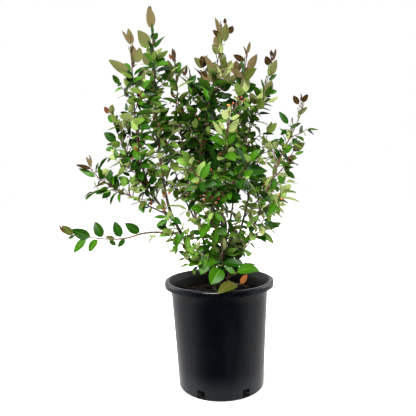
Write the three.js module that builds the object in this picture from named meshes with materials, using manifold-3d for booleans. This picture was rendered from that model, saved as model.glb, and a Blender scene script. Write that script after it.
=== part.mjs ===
// Potted cotoneaster: a many-stemmed evergreen shrub standing in a black nursery pot.
// Millimetres, +Z up. The origin is the middle of the pot's underside and the front faces -Y.
import * as THREE from 'three';
import { mergeVertices } from 'three/addons/utils/BufferGeometryUtils.js';
import Module from 'manifold-3d';

const wasm = await Module();
wasm.setup();

// Nursery pot, moulded with a rolled lip, a raised base and six drain notches
const POT_HEIGHT = 195;
const LIP_RADIUS = 100;
const LIP_DEPTH = 10.5;
const LIP_WIDTH = 8;
const WALL = 1.9;
const WALL_TOP_RADIUS = 88.2;
const WALL_FOOT_RADIUS = 78;
const FOOT_ROUNDING = 4;
const FOOT_RING_WIDTH = 8;
const BASE_LIFT = 4.5;
const BASE_PLATE = 2;
const CENTRE_PAD_RADIUS = 20;
const BASE_SLOPE = 2;
const NOTCH_COUNT = 6;
const NOTCH_WIDTH = 15;
const NOTCH_HEIGHT = 15;
const NOTCH_REACH = 30;
const FIRST_NOTCH_ANGLE = -57;
const POT_SIDES = 36;

// Potting mix, a finger's breadth below the rim
const MIX_TOP = 173;
const MIX_LEVEL_RADIUS = 42;
const MIX_BUMP = 1.6;

// Clearance between pieces that touch on the real plant
const GAP = 0.3;

// Wood: radii at a limb's foot come from its parent, and taper towards its tip
const ROOT_FLARE = 0.35;
const ROOT_FLARE_HEIGHT = 9;
const LIMB_TAPER = 0.74;
const SIDE_LIMB_SHARE = 0.8;
const SIDE_LIMB_LEAN = 0.3;
const SIDE_LIMB_RISE = 0.6;
const LEADER_TIP_RADIUS = 1.3;
const LEADER_SIDES = 3;
const LEADER_STEP = 40;
const LIMB_SIDES = 6;
const LIMB_STEP = 24;
const STEM_PULL = 0.2;
const LIMB_PULL = 1 / 3;
const LIMB_LIFT = 0.45;

// Foliage rule: a leader carries side twigs and leaves turned by the golden angle, with shorter
// twigs towards its tip; sizes vary from SHORTEST to SHORTEST + VARIATION of the usual one
const GOLDEN_ANGLE = Math.PI * (3 - Math.sqrt(5));
const FIRST_NODE = 12;
const NODE_SPACING = 17;
const TWIG_EVERY = 3;
const TWIG_LENGTH = 42;
const TWIG_SHORTEST = 0.65;
const TWIG_VARIATION = 0.6;
const TWIG_SHORTENING = 0.5;
const TWIG_RADIUS = 0.85;
const TWIG_SPREAD = THREE.MathUtils.degToRad(52);
const TWIG_LIFT = 0.15;
const TWIG_LEAF_PLACES = [0.42, 0.64, 0.84];
const TWIG_TIP_PLACE = 0.97;
const TWIG_PROBES = 6;
const TRIES = 4;
const TRY_TURN = THREE.MathUtils.degToRad(67);

// Leaves, a little larger than life because there are fewer of them
const LEAF_LENGTH = 36;
const LEAF_SHORTEST = 0.8;
const LEAF_VARIATION = 0.4;
const LEAF_WIDTH_SHARE = 0.54;
const LEAF_FOLD = 0.06;
const LEAF_WIDEST = 0.43;
const LEAF_FACING = 0.6;
const LEAF_ROLL = THREE.MathUtils.degToRad(50);
const LEAF_ROOT = 0.2;
const LEAF_SPREAD = THREE.MathUtils.degToRad(52);
const TIP_LEAF_SPREAD = THREE.MathUtils.degToRad(22);
const TIP_LEAVES = 2;
const TIP_LEAF_PLACE = 0.985;
const TIP_LEAF_REACH = 30;

// Berries, one to a berried twig
const BERRY_RADIUS = 2.6;
const BERRY_SHARE = 0.16;
const BERRY_PLACE = 0.6;
const BERRY_SINK = 0.8;

// Room kept round a leaf: to the next foliage's space, to bare wood and to the pot
const PROBE_STEP = 4;
const SPACE_MARGIN = 2.5;
const WOOD_MARGIN = 1.5;
const POT_MARGIN = 2.5;

// Stems stand on the mix: where each one stands, where it forks, and its foot radius
const STEMS = [
  { name: 'left_stem', foot: [-9, -6], tip: [-82, -30, 321], radius: 3.3 },
  { name: 'left_back_stem', foot: [-5, 9], tip: [-50, 35, 344], radius: 2.5 },
  { name: 'centre_stem', foot: [4, 1], tip: [15, 0, 289], radius: 2.9 },
  { name: 'right_stem', foot: [14, -5], tip: [79, -25, 334], radius: 2.5 },
  { name: 'right_back_stem', foot: [15, 10], tip: [64, 55, 356], radius: 2.4 },
  { name: 'back_stem', foot: [3, 19], tip: [-10, 80, 347], radius: 2.5 },
  { name: 'front_stem', foot: [3, -16], tip: [8, -70, 338], radius: 2.4 },
];

// Boughs are bare: the limb each grows on, how far along it, and where it enters its foliage
const BOUGHS = [
  { name: 'left_tall_bough', on: 'left_stem', at: 1, tip: [-96, -15, 383] },
  { name: 'left_upright_bough', on: 'left_stem', at: 0.9, tip: [-112, -46, 360] },
  { name: 'left_side_bough', on: 'left_upright_bough', at: 0.3, tip: [-152, -48, 354], lift: 0 },
  { name: 'left_low_bough', on: 'left_stem', at: 0.74, tip: [-142, -52, 285], lift: -0.35 },
  { name: 'back_left_bough', on: 'left_back_stem', at: 0.72, tip: [-85, 90, 400] },
  { name: 'centre_back_bough', on: 'centre_stem', at: 1, tip: [-20, 15, 359] },
  { name: 'centre_front_bough', on: 'centre_stem', at: 0.82, tip: [6, -28, 360] },
  { name: 'centre_right_bough', on: 'centre_stem', at: 0.68, tip: [34, 12, 368] },
  { name: 'right_bough', on: 'right_stem', at: 1, tip: [105, -28, 395] },
];

// Foliage leaders: the limb each grows on, how far along it, and the tip that it reaches
const FOLIAGE = [
  { name: 'left_tall_foliage', on: 'left_tall_bough', at: 1, tip: [-108, -20, 678] },
  { name: 'left_upright_foliage', on: 'left_upright_bough', at: 1, tip: [-139, -75, 625] },
  { name: 'left_shoulder_foliage', on: 'left_upright_bough', at: 0.6, tip: [-183, -70, 504] },
  { name: 'left_side_foliage', on: 'left_side_bough', at: 1, tip: [-235, -60, 415] },
  { name: 'left_low_foliage', on: 'left_low_bough', at: 1, tip: [-264, -70, 289], lift: 0.15 },
  { name: 'left_elbow_foliage', on: 'left_stem', at: 0.56, tip: [-96, -70, 300] },
  { name: 'back_left_tall_foliage', on: 'left_back_stem', at: 1, tip: [-77, 50, 627] },
  { name: 'back_left_inner_foliage', on: 'left_back_stem', at: 0.86, tip: [-50, 100, 606] },
  { name: 'back_left_outer_foliage', on: 'back_left_bough', at: 1, tip: [-132, 140, 580] },
  { name: 'back_left_low_foliage', on: 'back_left_bough', at: 0.6, tip: [-150, 115, 420] },
  { name: 'centre_tall_foliage', on: 'centre_back_bough', at: 1, tip: [18, 20, 671] },
  { name: 'centre_inner_foliage', on: 'centre_back_bough', at: 0.75, tip: [-21, 78, 623] },
  { name: 'centre_front_foliage', on: 'centre_front_bough', at: 1, tip: [60, -55, 601] },
  { name: 'front_tall_foliage', on: 'centre_front_bough', at: 0.72, tip: [20, -130, 470] },
  { name: 'centre_right_foliage', on: 'centre_right_bough', at: 1, tip: [113, 25, 612] },
  { name: 'right_outer_foliage', on: 'right_bough', at: 1, tip: [162, -35, 522] },
  { name: 'right_mid_foliage', on: 'right_bough', at: 0.7, tip: [155, -4, 446] },
  { name: 'right_low_foliage', on: 'right_stem', at: 0.62, tip: [104, -58, 306], lift: 0.1 },
  { name: 'right_lower_foliage', on: 'right_stem', at: 0.86, tip: [123, -80, 370] },
  { name: 'right_back_foliage', on: 'right_back_stem', at: 1, tip: [112, 85, 492] },
  { name: 'right_back_tall_foliage', on: 'right_back_stem', at: 0.9, tip: [44, 110, 620] },
  { name: 'right_back_side_foliage', on: 'right_back_stem', at: 0.72, tip: [140, 125, 420] },
  { name: 'back_tall_foliage', on: 'back_stem', at: 1, tip: [-26, 145, 590] },
  { name: 'back_mid_foliage', on: 'back_stem', at: 0.78, tip: [-30, 190, 450] },
  { name: 'back_right_foliage', on: 'back_stem', at: 0.9, tip: [62, 175, 520] },
  { name: 'front_left_foliage', on: 'front_stem', at: 0.88, tip: [-50, -140, 423] },
  { name: 'front_right_foliage', on: 'front_stem', at: 1, tip: [62, -130, 425] },
  { name: 'front_low_foliage', on: 'front_stem', at: 0.68, tip: [-34, -125, 350] },
  { name: 'base_left_foliage', on: 'left_stem', at: 0.28, tip: [-44, -60, 248] },
  { name: 'base_front_foliage', on: 'front_stem', at: 0.16, tip: [28, -76, 206], lift: -0.4 },
  { name: 'base_right_foliage', on: 'right_stem', at: 0.25, tip: [64, -40, 226], lift: 0.1 },
  { name: 'centre_low_foliage', on: 'centre_stem', at: 0.4, tip: [44, 4, 265] },
  { name: 'centre_mid_foliage', on: 'centre_stem', at: 0.56, tip: [42, -40, 325] },
  { name: 'left_inner_foliage', on: 'left_back_stem', at: 0.45, tip: [-36, -28, 318] },
  { name: 'right_inner_foliage', on: 'right_stem', at: 0.45, tip: [72, -40, 290] },
  { name: 'back_low_foliage', on: 'back_stem', at: 0.45, tip: [10, 95, 285] },
];

const UP = new THREE.Vector3(0, 0, 1);
const STEEP = 0.9;

const plasticBlack = () => new THREE.MeshStandardMaterial({ color: 0x1a1c20, roughness: 0.45 });
const mixBrown = () => new THREE.MeshStandardMaterial({ color: 0x3b2a20, roughness: 0.95 });
const barkBrown = () => new THREE.MeshStandardMaterial({ color: 0x4f3f34, roughness: 0.85 });
const leafGreen = () => new THREE.MeshStandardMaterial({ color: 0x4b6a2d, roughness: 0.55 });

// A repeatable number from 0 to 1 for each seed and index
function chance(seed, index) {
  const wave = Math.sin(seed * 12.9898 + index * 78.233) * 43758.5453;
  return wave - Math.floor(wave);
}

function solidOf(geometry) {
  const bare = geometry.clone();
  bare.deleteAttribute('normal');
  bare.deleteAttribute('uv');
  const merged = mergeVertices(bare, 1e-4);
  return new wasm.Manifold(new wasm.Mesh({
    numProp: 3,
    vertProperties: new Float32Array(merged.attributes.position.array),
    triVerts: new Uint32Array(merged.index.array),
  }));
}

function geometryOf(solid) {
  const mesh = solid.getMesh();
  const geometry = new THREE.BufferGeometry();
  geometry.setAttribute('position', new THREE.BufferAttribute(mesh.vertProperties, mesh.numProp));
  geometry.setIndex(new THREE.BufferAttribute(mesh.triVerts, 1));
  geometry.computeVertexNormals();
  return geometry;
}

// The largest closed body of a fused solid, without loose scraps or sealed hollows
function mainBody(solid) {
  return solid.decompose().reduce((best, body) => (body.volume() > best.volume() ? body : best));
}

function named(name, geometry, material) {
  const mesh = new THREE.Mesh(geometry, material);
  mesh.name = name;
  return mesh;
}

// A closed profile of [radius, height] pairs turned about the Z axis
function turned(profile, sides) {
  const points = profile.map(([radius, height]) => new THREE.Vector2(radius, height));
  return new THREE.LatheGeometry(points, sides).rotateX(Math.PI / 2);
}

// Inner radius of the pot's tapering wall at a height
function wallInside(height) {
  const share = (height - FOOT_ROUNDING) / (POT_HEIGHT - LIP_DEPTH - FOOT_ROUNDING);
  return THREE.MathUtils.lerp(WALL_FOOT_RADIUS, WALL_TOP_RADIUS, share) - WALL;
}

function makePot() {
  const lipFoot = POT_HEIGHT - LIP_DEPTH;
  const lipInside = LIP_RADIUS - LIP_WIDTH;
  const lipSoffit = POT_HEIGHT - WALL;
  const baseTop = BASE_LIFT + BASE_PLATE;
  const footFlat = WALL_FOOT_RADIUS - FOOT_ROUNDING;
  const footInside = footFlat - FOOT_RING_WIDTH;
  const diagonal = FOOT_ROUNDING * Math.SQRT1_2;
  const shell = solidOf(turned([
    [0, 0],
    [CENTRE_PAD_RADIUS, 0],
    [CENTRE_PAD_RADIUS + BASE_SLOPE, BASE_LIFT],
    [footInside - BASE_SLOPE, BASE_LIFT],
    [footInside, 0],
    [footFlat, 0],
    [footFlat + diagonal, FOOT_ROUNDING - diagonal],
    [WALL_FOOT_RADIUS, FOOT_ROUNDING],
    [WALL_TOP_RADIUS, lipFoot],
    [lipInside + WALL / 2, lipSoffit],
    [LIP_RADIUS - WALL, lipSoffit],
    [LIP_RADIUS - WALL, lipFoot],
    [LIP_RADIUS, lipFoot],
    [LIP_RADIUS, lipSoffit],
    [LIP_RADIUS - WALL, POT_HEIGHT],
    [lipInside, POT_HEIGHT],
    [WALL_TOP_RADIUS - WALL, lipFoot],
    [wallInside(baseTop + FOOT_ROUNDING), baseTop + FOOT_ROUNDING],
    [wallInside(baseTop) - FOOT_ROUNDING, baseTop],
    [0, baseTop],
  ], POT_SIDES));
  const middle = (WALL_FOOT_RADIUS + footInside) / 2;
  let pot = shell;
  for (let i = 0; i < NOTCH_COUNT; i += 1) {
    const angle = THREE.MathUtils.degToRad(FIRST_NOTCH_ANGLE + i * 360 / NOTCH_COUNT);
    const notch = new THREE.BoxGeometry(NOTCH_REACH, NOTCH_WIDTH, NOTCH_HEIGHT * 2);
    notch.translate(middle, 0, 0).rotateZ(angle);
    pot = pot.subtract(solidOf(notch));
  }
  return named('pot', geometryOf(pot), plasticBlack());
}

// The mix fills the pot; its surface is level round the stems and uneven towards the wall
function makePottingMix() {
  const bottom = BASE_LIFT + BASE_PLATE + GAP;
  const bend = bottom + FOOT_ROUNDING;
  const edge = wallInside(MIX_TOP) - GAP;
  const geometry = turned([
    [0, bottom],
    [wallInside(bottom) - FOOT_ROUNDING - GAP, bottom],
    [wallInside(bend) - GAP, bend],
    [edge, MIX_TOP - MIX_BUMP],
    [(edge + MIX_LEVEL_RADIUS) / 2, MIX_TOP],
    [MIX_LEVEL_RADIUS, MIX_TOP],
    [0, MIX_TOP],
  ], POT_SIDES);
  const places = geometry.attributes.position;
  for (let i = 0; i < places.count; i += 1) {
    const radius = Math.hypot(places.getX(i), places.getY(i));
    const onTop = places.getZ(i) > MIX_TOP - 2 * MIX_BUMP;
    if (onTop && radius > MIX_LEVEL_RADIUS + GAP) {
      const angle = Math.atan2(places.getY(i), places.getX(i));
      const wave = Math.sin(3 * angle + radius) + Math.sin(7 * angle);
      places.setZ(i, places.getZ(i) + MIX_BUMP * wave / 2);
    }
  }
  return named('potting_mix', geometryOf(solidOf(geometry)), mixBrown());
}

// A limb's path leaves along a heading and turns up, or down, as it comes to its tip
function limbCurve(start, heading, tip, pull, lift) {
  const chord = tip.clone().sub(start);
  const reach = chord.length();
  const arrival = chord.clone().normalize().addScaledVector(UP, lift).normalize();
  return new THREE.CubicBezierCurve3(
    start,
    start.clone().addScaledVector(heading, reach * pull),
    tip.clone().addScaledVector(arrival, -reach * LIMB_PULL),
    tip,
  );
}

// A round rod of changing radius, bent along a curve
function bentRod(curve, radiusAt, sides, steps) {
  const rod = new THREE.CylinderGeometry(1, 1, 1, sides, steps);
  const centres = curve.getSpacedPoints(steps);
  const frames = curve.computeFrenetFrames(steps, false);
  const places = rod.attributes.position;
  const place = new THREE.Vector3();
  for (let i = 0; i < places.count; i += 1) {
    const share = places.getY(i) + 0.5;
    const step = Math.round(share * steps);
    const radius = radiusAt(share);
    place.copy(centres[step]);
    place.addScaledVector(frames.normals[step], places.getX(i) * radius);
    place.addScaledVector(frames.binormals[step], -places.getZ(i) * radius);
    places.setXYZ(i, place.x, place.y, place.z);
  }
  return rod;
}

const stepsAlong = (curve, step) => Math.max(3, Math.round(curve.getLength() / step));

const limbs = new Map();

function plantStem({ name, foot, tip, radius }) {
  const start = new THREE.Vector3(...foot, MIX_TOP + GAP);
  const curve = limbCurve(start, UP, new THREE.Vector3(...tip), STEM_PULL, LIMB_LIFT);
  const length = curve.getLength();
  const radiusAt = (share) => radius * THREE.MathUtils.lerp(1, LIMB_TAPER, share)
    * (1 + ROOT_FLARE * Math.exp(-share * length / ROOT_FLARE_HEIGHT));
  limbs.set(name, { curve, radiusAt });
}

// A limb at 1 carries on from its parent's tip; any other one springs from the parent's side
function graftLimb({ name, on, at, tip, lift = LIMB_LIFT }, tipRadiusOf, shortOfTip) {
  const parent = limbs.get(on);
  const along = parent.curve.getTangentAt(at);
  const start = parent.curve.getPointAt(at);
  const end = new THREE.Vector3(...tip);
  const span = end.distanceTo(start);
  end.lerp(start, shortOfTip / span);
  let footRadius = parent.radiusAt(at);
  let heading = along;
  if (at === 1) {
    start.addScaledVector(along, GAP);
  } else {
    footRadius *= SIDE_LIMB_SHARE;
    heading = end.clone().sub(start).normalize().addScaledVector(along, SIDE_LIMB_LEAN);
    heading.z *= SIDE_LIMB_RISE;
    heading.normalize();
  }
  const curve = limbCurve(start, heading, end, LIMB_PULL, lift);
  const radiusAt = (share) => THREE.MathUtils.lerp(footRadius, tipRadiusOf(footRadius), share);
  limbs.set(name, { curve, radiusAt, on, at });
}

// The limb's solid, with the side it springs from cut clear of its parent
function limbSolid(name, sides, step) {
  const { curve, radiusAt, on, at } = limbs.get(name);
  const rod = solidOf(bentRod(curve, radiusAt, sides, stepsAlong(curve, step)));
  if (!on || at === 1) {
    return rod;
  }
  const parent = limbs.get(on);
  const room = (share) => parent.radiusAt(share) + GAP / Math.cos(Math.PI / LIMB_SIDES);
  const steps = stepsAlong(parent.curve, LIMB_STEP);
  return mainBody(rod.subtract(solidOf(bentRod(parent.curve, room, LIMB_SIDES, steps))));
}

STEMS.forEach(plantStem);
BOUGHS.forEach((bough) => graftLimb(bough, (footRadius) => footRadius * LIMB_TAPER, 0));
FOLIAGE.forEach((mass) => graftLimb(mass, () => LEADER_TIP_RADIUS, TIP_LEAF_REACH));

// Each foliage's own space is the room nearest to its own leader
const leaderPoints = FOLIAGE.map(({ name }) => {
  const { curve } = limbs.get(name);
  return { name, points: curve.getSpacedPoints(Math.round(curve.getLength() / PROBE_STEP)) };
});
const woodPoints = [...STEMS, ...BOUGHS].flatMap(({ name }) => {
  const { curve, radiusAt } = limbs.get(name);
  const count = Math.round(curve.getLength() / PROBE_STEP);
  return curve.getSpacedPoints(count).map((point, i) => ({ point, radius: radiusAt(i / count) }));
});

const nearest = (points, place) => Math.sqrt(Math.min(...points.map((p) => p.distanceToSquared(place))));

function isFree(place, name) {
  const own = nearest(leaderPoints.find((leader) => leader.name === name).points, place);
  const inSpace = leaderPoints.every((leader) => leader.name === name
    || own + SPACE_MARGIN < nearest(leader.points, place));
  const offWood = woodPoints.every(({ point, radius }) => point.distanceTo(place) > radius + WOOD_MARGIN);
  const radius = Math.hypot(place.x, place.y);
  const offPot = place.z > POT_HEIGHT + POT_MARGIN
    || (place.z > MIX_TOP + MIX_BUMP + POT_MARGIN && radius < wallInside(MIX_TOP) - POT_MARGIN);
  return inSpace && offWood && offPot;
}

// The direction that leaves an axis at a spread angle, turned about that axis
function sideways(along, turn, spread) {
  const across = Math.abs(along.z) < STEEP ? UP.clone().cross(along) : new THREE.Vector3(1, 0, 0);
  across.addScaledVector(along, -across.dot(along)).normalize().applyAxisAngle(along, turn);
  return along.clone().multiplyScalar(Math.cos(spread)).addScaledVector(across, Math.sin(spread));
}

// A leaf is a four-faced blade: its rib runs from root to point along the underside, and its
// two side corners stand a little higher, below the middle of its length
function leafBlade(root, direction, along, length, roll) {
  const face = UP.clone().addScaledVector(along, LEAF_FACING);
  face.addScaledVector(direction, -face.dot(direction)).normalize().applyAxisAngle(direction, roll);
  const across = direction.clone().cross(face);
  const blade = new THREE.TetrahedronGeometry(1);
  const places = blade.attributes.position;
  const place = new THREE.Vector3();
  for (let i = 0; i < places.count; i += 1) {
    const onRib = places.getZ(i) > 0;
    const end = Math.sign(places.getY(i));
    place.copy(root);
    if (onRib) {
      place.addScaledVector(direction, length * (1 + end) / 2);
    } else {
      place.addScaledVector(direction, length * LEAF_WIDEST);
      place.addScaledVector(across, end * length * LEAF_WIDTH_SHARE / 2);
      place.addScaledVector(face, length * LEAF_FOLD);
    }
    places.setXYZ(i, place.x, place.y, place.z);
  }
  return blade;
}

// The corners of a blade and the middles of its edges, where its room is tried
function triedPlaces(blade) {
  const places = blade.attributes.position;
  const cornerOf = (_, i) => new THREE.Vector3().fromBufferAttribute(places, i);
  const corners = Array.from({ length: places.count }, cornerOf);
  const nextOf = (i) => corners[i % 3 === 2 ? i - 2 : i + 1];
  return corners.concat(corners.map((corner, i) => corner.clone().lerp(nextOf(i), 0.5)));
}

// Leaves and twigs that would leave the foliage's space or touch wood are turned, then skipped
function growFoliage(name, seed) {
  const { curve } = limbs.get(name);
  const pieces = [limbSolid(name, LEADER_SIDES, LEADER_STEP)];
  let draws = 0;
  const draw = () => chance(seed, draws += 1);

  const addLeaf = (root, along, turn, spread) => {
    const length = LEAF_LENGTH * (LEAF_SHORTEST + LEAF_VARIATION * draw());
    const roll = LEAF_ROLL * (2 * draw() - 1);
    for (let attempt = 0; attempt < TRIES; attempt += 1) {
      const direction = sideways(along, turn + attempt * TRY_TURN, spread);
      const blade = leafBlade(root, direction, along, length, roll);
      const tried = triedPlaces(blade).filter((place) => place.distanceTo(root) > LEAF_ROOT * length);
      if (tried.every((place) => isFree(place, name))) {
        pieces.push(solidOf(blade));
        return;
      }
    }
  };

  const addBerry = (path, share) => {
    const along = path.getTangentAt(share);
    const hang = sideways(along, draw() * Math.PI * 2, Math.PI / 2);
    const centre = path.getPointAt(share).addScaledVector(hang, BERRY_RADIUS * BERRY_SINK);
    if (isFree(centre, name)) {
      pieces.push(solidOf(new THREE.IcosahedronGeometry(BERRY_RADIUS).translate(...centre)));
    }
  };

  const addTwig = (start, along, turn, share) => {
    const usual = TWIG_LENGTH * (1 - TWIG_SHORTENING * share);
    const length = usual * (TWIG_SHORTEST + TWIG_VARIATION * draw());
    for (let attempt = 0; attempt < TRIES; attempt += 1) {
      const heading = sideways(along, turn + attempt * TRY_TURN, TWIG_SPREAD);
      const tip = start.clone().addScaledVector(heading, length).addScaledVector(UP, TWIG_LIFT * length);
      const path = new THREE.LineCurve3(start, tip);
      if (path.getSpacedPoints(TWIG_PROBES).slice(1).every((point) => isFree(point, name))) {
        pieces.push(solidOf(bentRod(path, () => TWIG_RADIUS, LEADER_SIDES, 1)));
        TWIG_LEAF_PLACES.forEach((place, i) => {
          addLeaf(path.getPointAt(place), path.getTangentAt(place), turn + i * Math.PI, LEAF_SPREAD);
        });
        const tipTurn = draw() * Math.PI * 2;
        addLeaf(path.getPointAt(TWIG_TIP_PLACE), path.getTangentAt(1), tipTurn, TIP_LEAF_SPREAD);
        if (draw() < BERRY_SHARE) {
          addBerry(path, BERRY_PLACE);
        }
        return;
      }
    }
  };

  const length = curve.getLength();
  const nodes = Math.round((length - FIRST_NODE) / NODE_SPACING);
  for (let i = 0; i < nodes; i += 1) {
    const share = (FIRST_NODE + i * NODE_SPACING) / length;
    const place = curve.getPointAt(share);
    const along = curve.getTangentAt(share);
    const turn = (seed + i) * GOLDEN_ANGLE;
    if (i % TWIG_EVERY === 0) {
      addTwig(place, along, turn, share);
    } else {
      addLeaf(place, along, turn, LEAF_SPREAD);
    }
  }
  for (let i = 0; i < TIP_LEAVES; i += 1) {
    addLeaf(curve.getPointAt(TIP_LEAF_PLACE), curve.getTangentAt(1), i * Math.PI + seed, TIP_LEAF_SPREAD);
  }
  const fused = pieces.reduce((whole, piece) => whole.add(piece));
  return named(name, geometryOf(mainBody(fused)), leafGreen());
}

const plant = new THREE.Group();
plant.add(makePot(), makePottingMix());
[...STEMS, ...BOUGHS].forEach(({ name }) => {
  plant.add(named(name, geometryOf(limbSolid(name, LIMB_SIDES, LIMB_STEP)), barkBrown()));
});
FOLIAGE.forEach(({ name }, i) => plant.add(growFoliage(name, i + 1)));

export default plant;
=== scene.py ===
# %% [markdown]
# # Potted cotoneaster
# A cotoneaster is an evergreen garden shrub. Its shoots arch up from a bunch of thin stems, its pointed
# leaves are green above and pale and felted underneath, and it bears small red berries. This one stands in
# a black nursery pot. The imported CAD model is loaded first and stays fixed: it gives the size and place of
# every limb, and each piece made below takes the place of some of its nodes.

# %% Load the frame
import math

import bpy
import numpy as np
from mathutils import Matrix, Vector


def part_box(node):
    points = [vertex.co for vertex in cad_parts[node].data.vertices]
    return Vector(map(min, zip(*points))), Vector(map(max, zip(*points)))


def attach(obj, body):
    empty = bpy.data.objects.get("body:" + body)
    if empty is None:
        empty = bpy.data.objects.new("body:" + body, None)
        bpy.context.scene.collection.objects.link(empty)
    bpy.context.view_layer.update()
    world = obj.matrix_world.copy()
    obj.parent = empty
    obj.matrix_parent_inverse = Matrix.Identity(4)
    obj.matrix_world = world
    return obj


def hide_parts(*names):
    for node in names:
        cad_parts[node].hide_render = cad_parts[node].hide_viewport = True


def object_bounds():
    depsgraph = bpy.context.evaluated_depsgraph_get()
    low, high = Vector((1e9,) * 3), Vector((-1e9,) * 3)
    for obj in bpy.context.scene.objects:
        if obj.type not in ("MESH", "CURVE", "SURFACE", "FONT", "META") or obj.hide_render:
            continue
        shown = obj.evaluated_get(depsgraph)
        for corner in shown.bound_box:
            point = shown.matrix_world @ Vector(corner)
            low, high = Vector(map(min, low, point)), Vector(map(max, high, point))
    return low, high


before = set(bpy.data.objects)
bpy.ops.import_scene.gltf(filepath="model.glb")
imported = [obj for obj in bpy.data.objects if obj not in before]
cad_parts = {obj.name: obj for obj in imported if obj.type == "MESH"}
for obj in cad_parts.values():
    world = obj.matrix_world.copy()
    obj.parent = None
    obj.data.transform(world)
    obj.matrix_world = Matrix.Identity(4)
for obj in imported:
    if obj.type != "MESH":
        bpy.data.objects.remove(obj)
cad_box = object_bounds()
print("CAD box in metres:", [tuple(round(c, 3) for c in corner) for corner in cad_box])

# %% [markdown]
# ## From arrays to pieces
# A twig, a leaf, a berry and even the pot are all the same thing to a mesh: a row of rings with a closing
# point at each end. One function numbers the faces of many such bars at once, and one puts the arrays into
# a mesh. Modelling each leaf by hand, or placing copies of one leaf, would be the other ways. Arrays give
# every leaf its own bend and fold, and leave plain joined meshes that any other program can read.

# %% Rings, faces and pieces
MM = 0.001
CREASE = 40


def ring_faces(bars, rings, sides):
    """Quads between neighbouring rings, and triangles from the end rings to the end points, facing outwards.

    A bar holds its points ring by ring, then its first and its last end point. Bars follow one another.
    """
    side = np.arange(sides)
    following = (side + 1) % sides
    here = np.arange(rings - 1)[:, None] * sides
    ahead = here + sides
    quads = np.stack([here + side, here + following, ahead + following, ahead + side], axis=-1)
    top = (rings - 1) * sides
    first = np.full(sides, rings * sides)
    foot = np.stack([first, following, side], axis=-1)
    head = np.stack([top + side, top + following, first + 1], axis=-1)
    offset = (np.arange(bars) * (rings * sides + 2))[:, None, None]
    quads = (quads.reshape(-1, 4) + offset).reshape(-1, 4)
    ends = (np.concatenate([foot, head]) + offset).reshape(-1, 3)
    return quads, ends


def make_piece(name, points, faces, materials, finishes=None, crease=CREASE):
    """Joins points, in millimetres, and faces into one smooth mesh, with sharp edges past the crease."""
    mesh = bpy.data.meshes.new(name)
    quads, ends = faces
    mesh.from_pydata(points.reshape(-1, 3) * MM, [], quads.tolist() + ends.tolist())
    for material in materials:
        mesh.materials.append(material)
    if finishes is not None:
        mesh.polygons.foreach_set("material_index", finishes.astype(np.int32))
    mesh.polygons.foreach_set("use_smooth", np.ones(len(mesh.polygons), dtype=bool))
    mesh.set_sharp_from_angle(angle=math.radians(crease))
    mesh.update()
    piece = bpy.data.objects.new(name, mesh)
    bpy.context.collection.objects.link(piece)
    return piece


def settle(piece, slot, *nodes):
    """Lets a finished piece ride on the one body and stand for the CAD nodes named. The slot is not used."""
    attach(piece, "root")
    if nodes:
        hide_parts(*nodes)
    triangles = sum(len(face.vertices) - 2 for face in piece.data.polygons)
    print(piece.name, "has", triangles, "triangles")


print("a bar of two rings and four sides has", sum(len(part) for part in ring_faces(1, 2, 4)), "faces")

# %% [markdown]
# ## Finishes
# A material starts from what the real surface is. Colours are written as the hex values that one would read
# off a screen, and one function turns them into the linear values that a renderer works with. Another small
# function adds a shader node, sets its settings and links it, so that a finish reads as a short list.

# %% Colour and node helpers


def linear(colour):
    """sRGB hex to linear: each part over 12.92 when dark, else ((part + 0.055) / 1.055) to the power 2.4."""
    parts = np.array([int(colour[i:i + 2], 16) for i in (1, 3, 5)]) / 255
    light = np.where(parts <= 0.04045, parts / 12.92, ((parts + 0.055) / 1.055) ** 2.4)
    return (*light.tolist(), 1.0)


def add(tree, kind, inputs, **settings):
    """Adds one node. A setting is a property of it. An input is a value, or a socket that links to it."""
    node = tree.nodes.new(kind)
    for key, value in settings.items():
        setattr(node, key, value)
    for key, value in inputs.items():
        if isinstance(value, bpy.types.NodeSocket):
            tree.links.new(value, node.inputs[key])
        else:
            node.inputs[key].default_value = value
    return node


def new_finish(name, colour, roughness, ior, specular=0.5):
    """A material with one Principled shader of one colour, to which a pattern may be linked."""
    material = bpy.data.materials.new(name)
    material.use_nodes = True
    shader = material.node_tree.nodes["Principled BSDF"]
    shader.inputs["Base Color"].default_value = linear(colour)
    shader.inputs["Roughness"].default_value = roughness
    shader.inputs["IOR"].default_value = ior
    shader.inputs["Specular IOR Level"].default_value = specular
    return material


def start_pattern(finish):
    """What a pattern starts from: the finish's node tree, its shader and a socket with Object coordinates."""
    tree = finish.node_tree
    place = add(tree, "ShaderNodeTexCoord", {}).outputs["Object"]
    return tree, tree.nodes["Principled BSDF"], place


def blend_colours(tree, factor, stops):
    """A colour ramp: stops are (place from 0 to 1, hex colour), and factor is the socket that it reads."""
    ramp = add(tree, "ShaderNodeValToRGB", {"Fac": factor})
    elements = ramp.color_ramp.elements
    while len(elements) < len(stops):
        elements.new(0.5)
    for element, (place, colour) in zip(elements, stops):
        element.position = place
        element.color = linear(colour)
    return ramp.outputs["Color"]


print("the mid grey #808080 is", round(linear("#808080")[0], 3), "in linear light")

# %% [markdown]
# ## The nursery pot
# The pot is blow-moulded or injection-moulded black polypropylene: a thin tapered wall, a lip that turns
# over and down, a raised base and six drain notches in the foot. A turned profile gives all of it but the
# notches. The corners of the profile are rounded as a mould rounds them, because the soft line of light
# along the lip is what makes the pot look moulded. A Boolean modifier then cuts the notches. Outside the
# plastic is satin, and inside, above the mix, it is dull with a crust of dried mix and lime.

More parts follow.
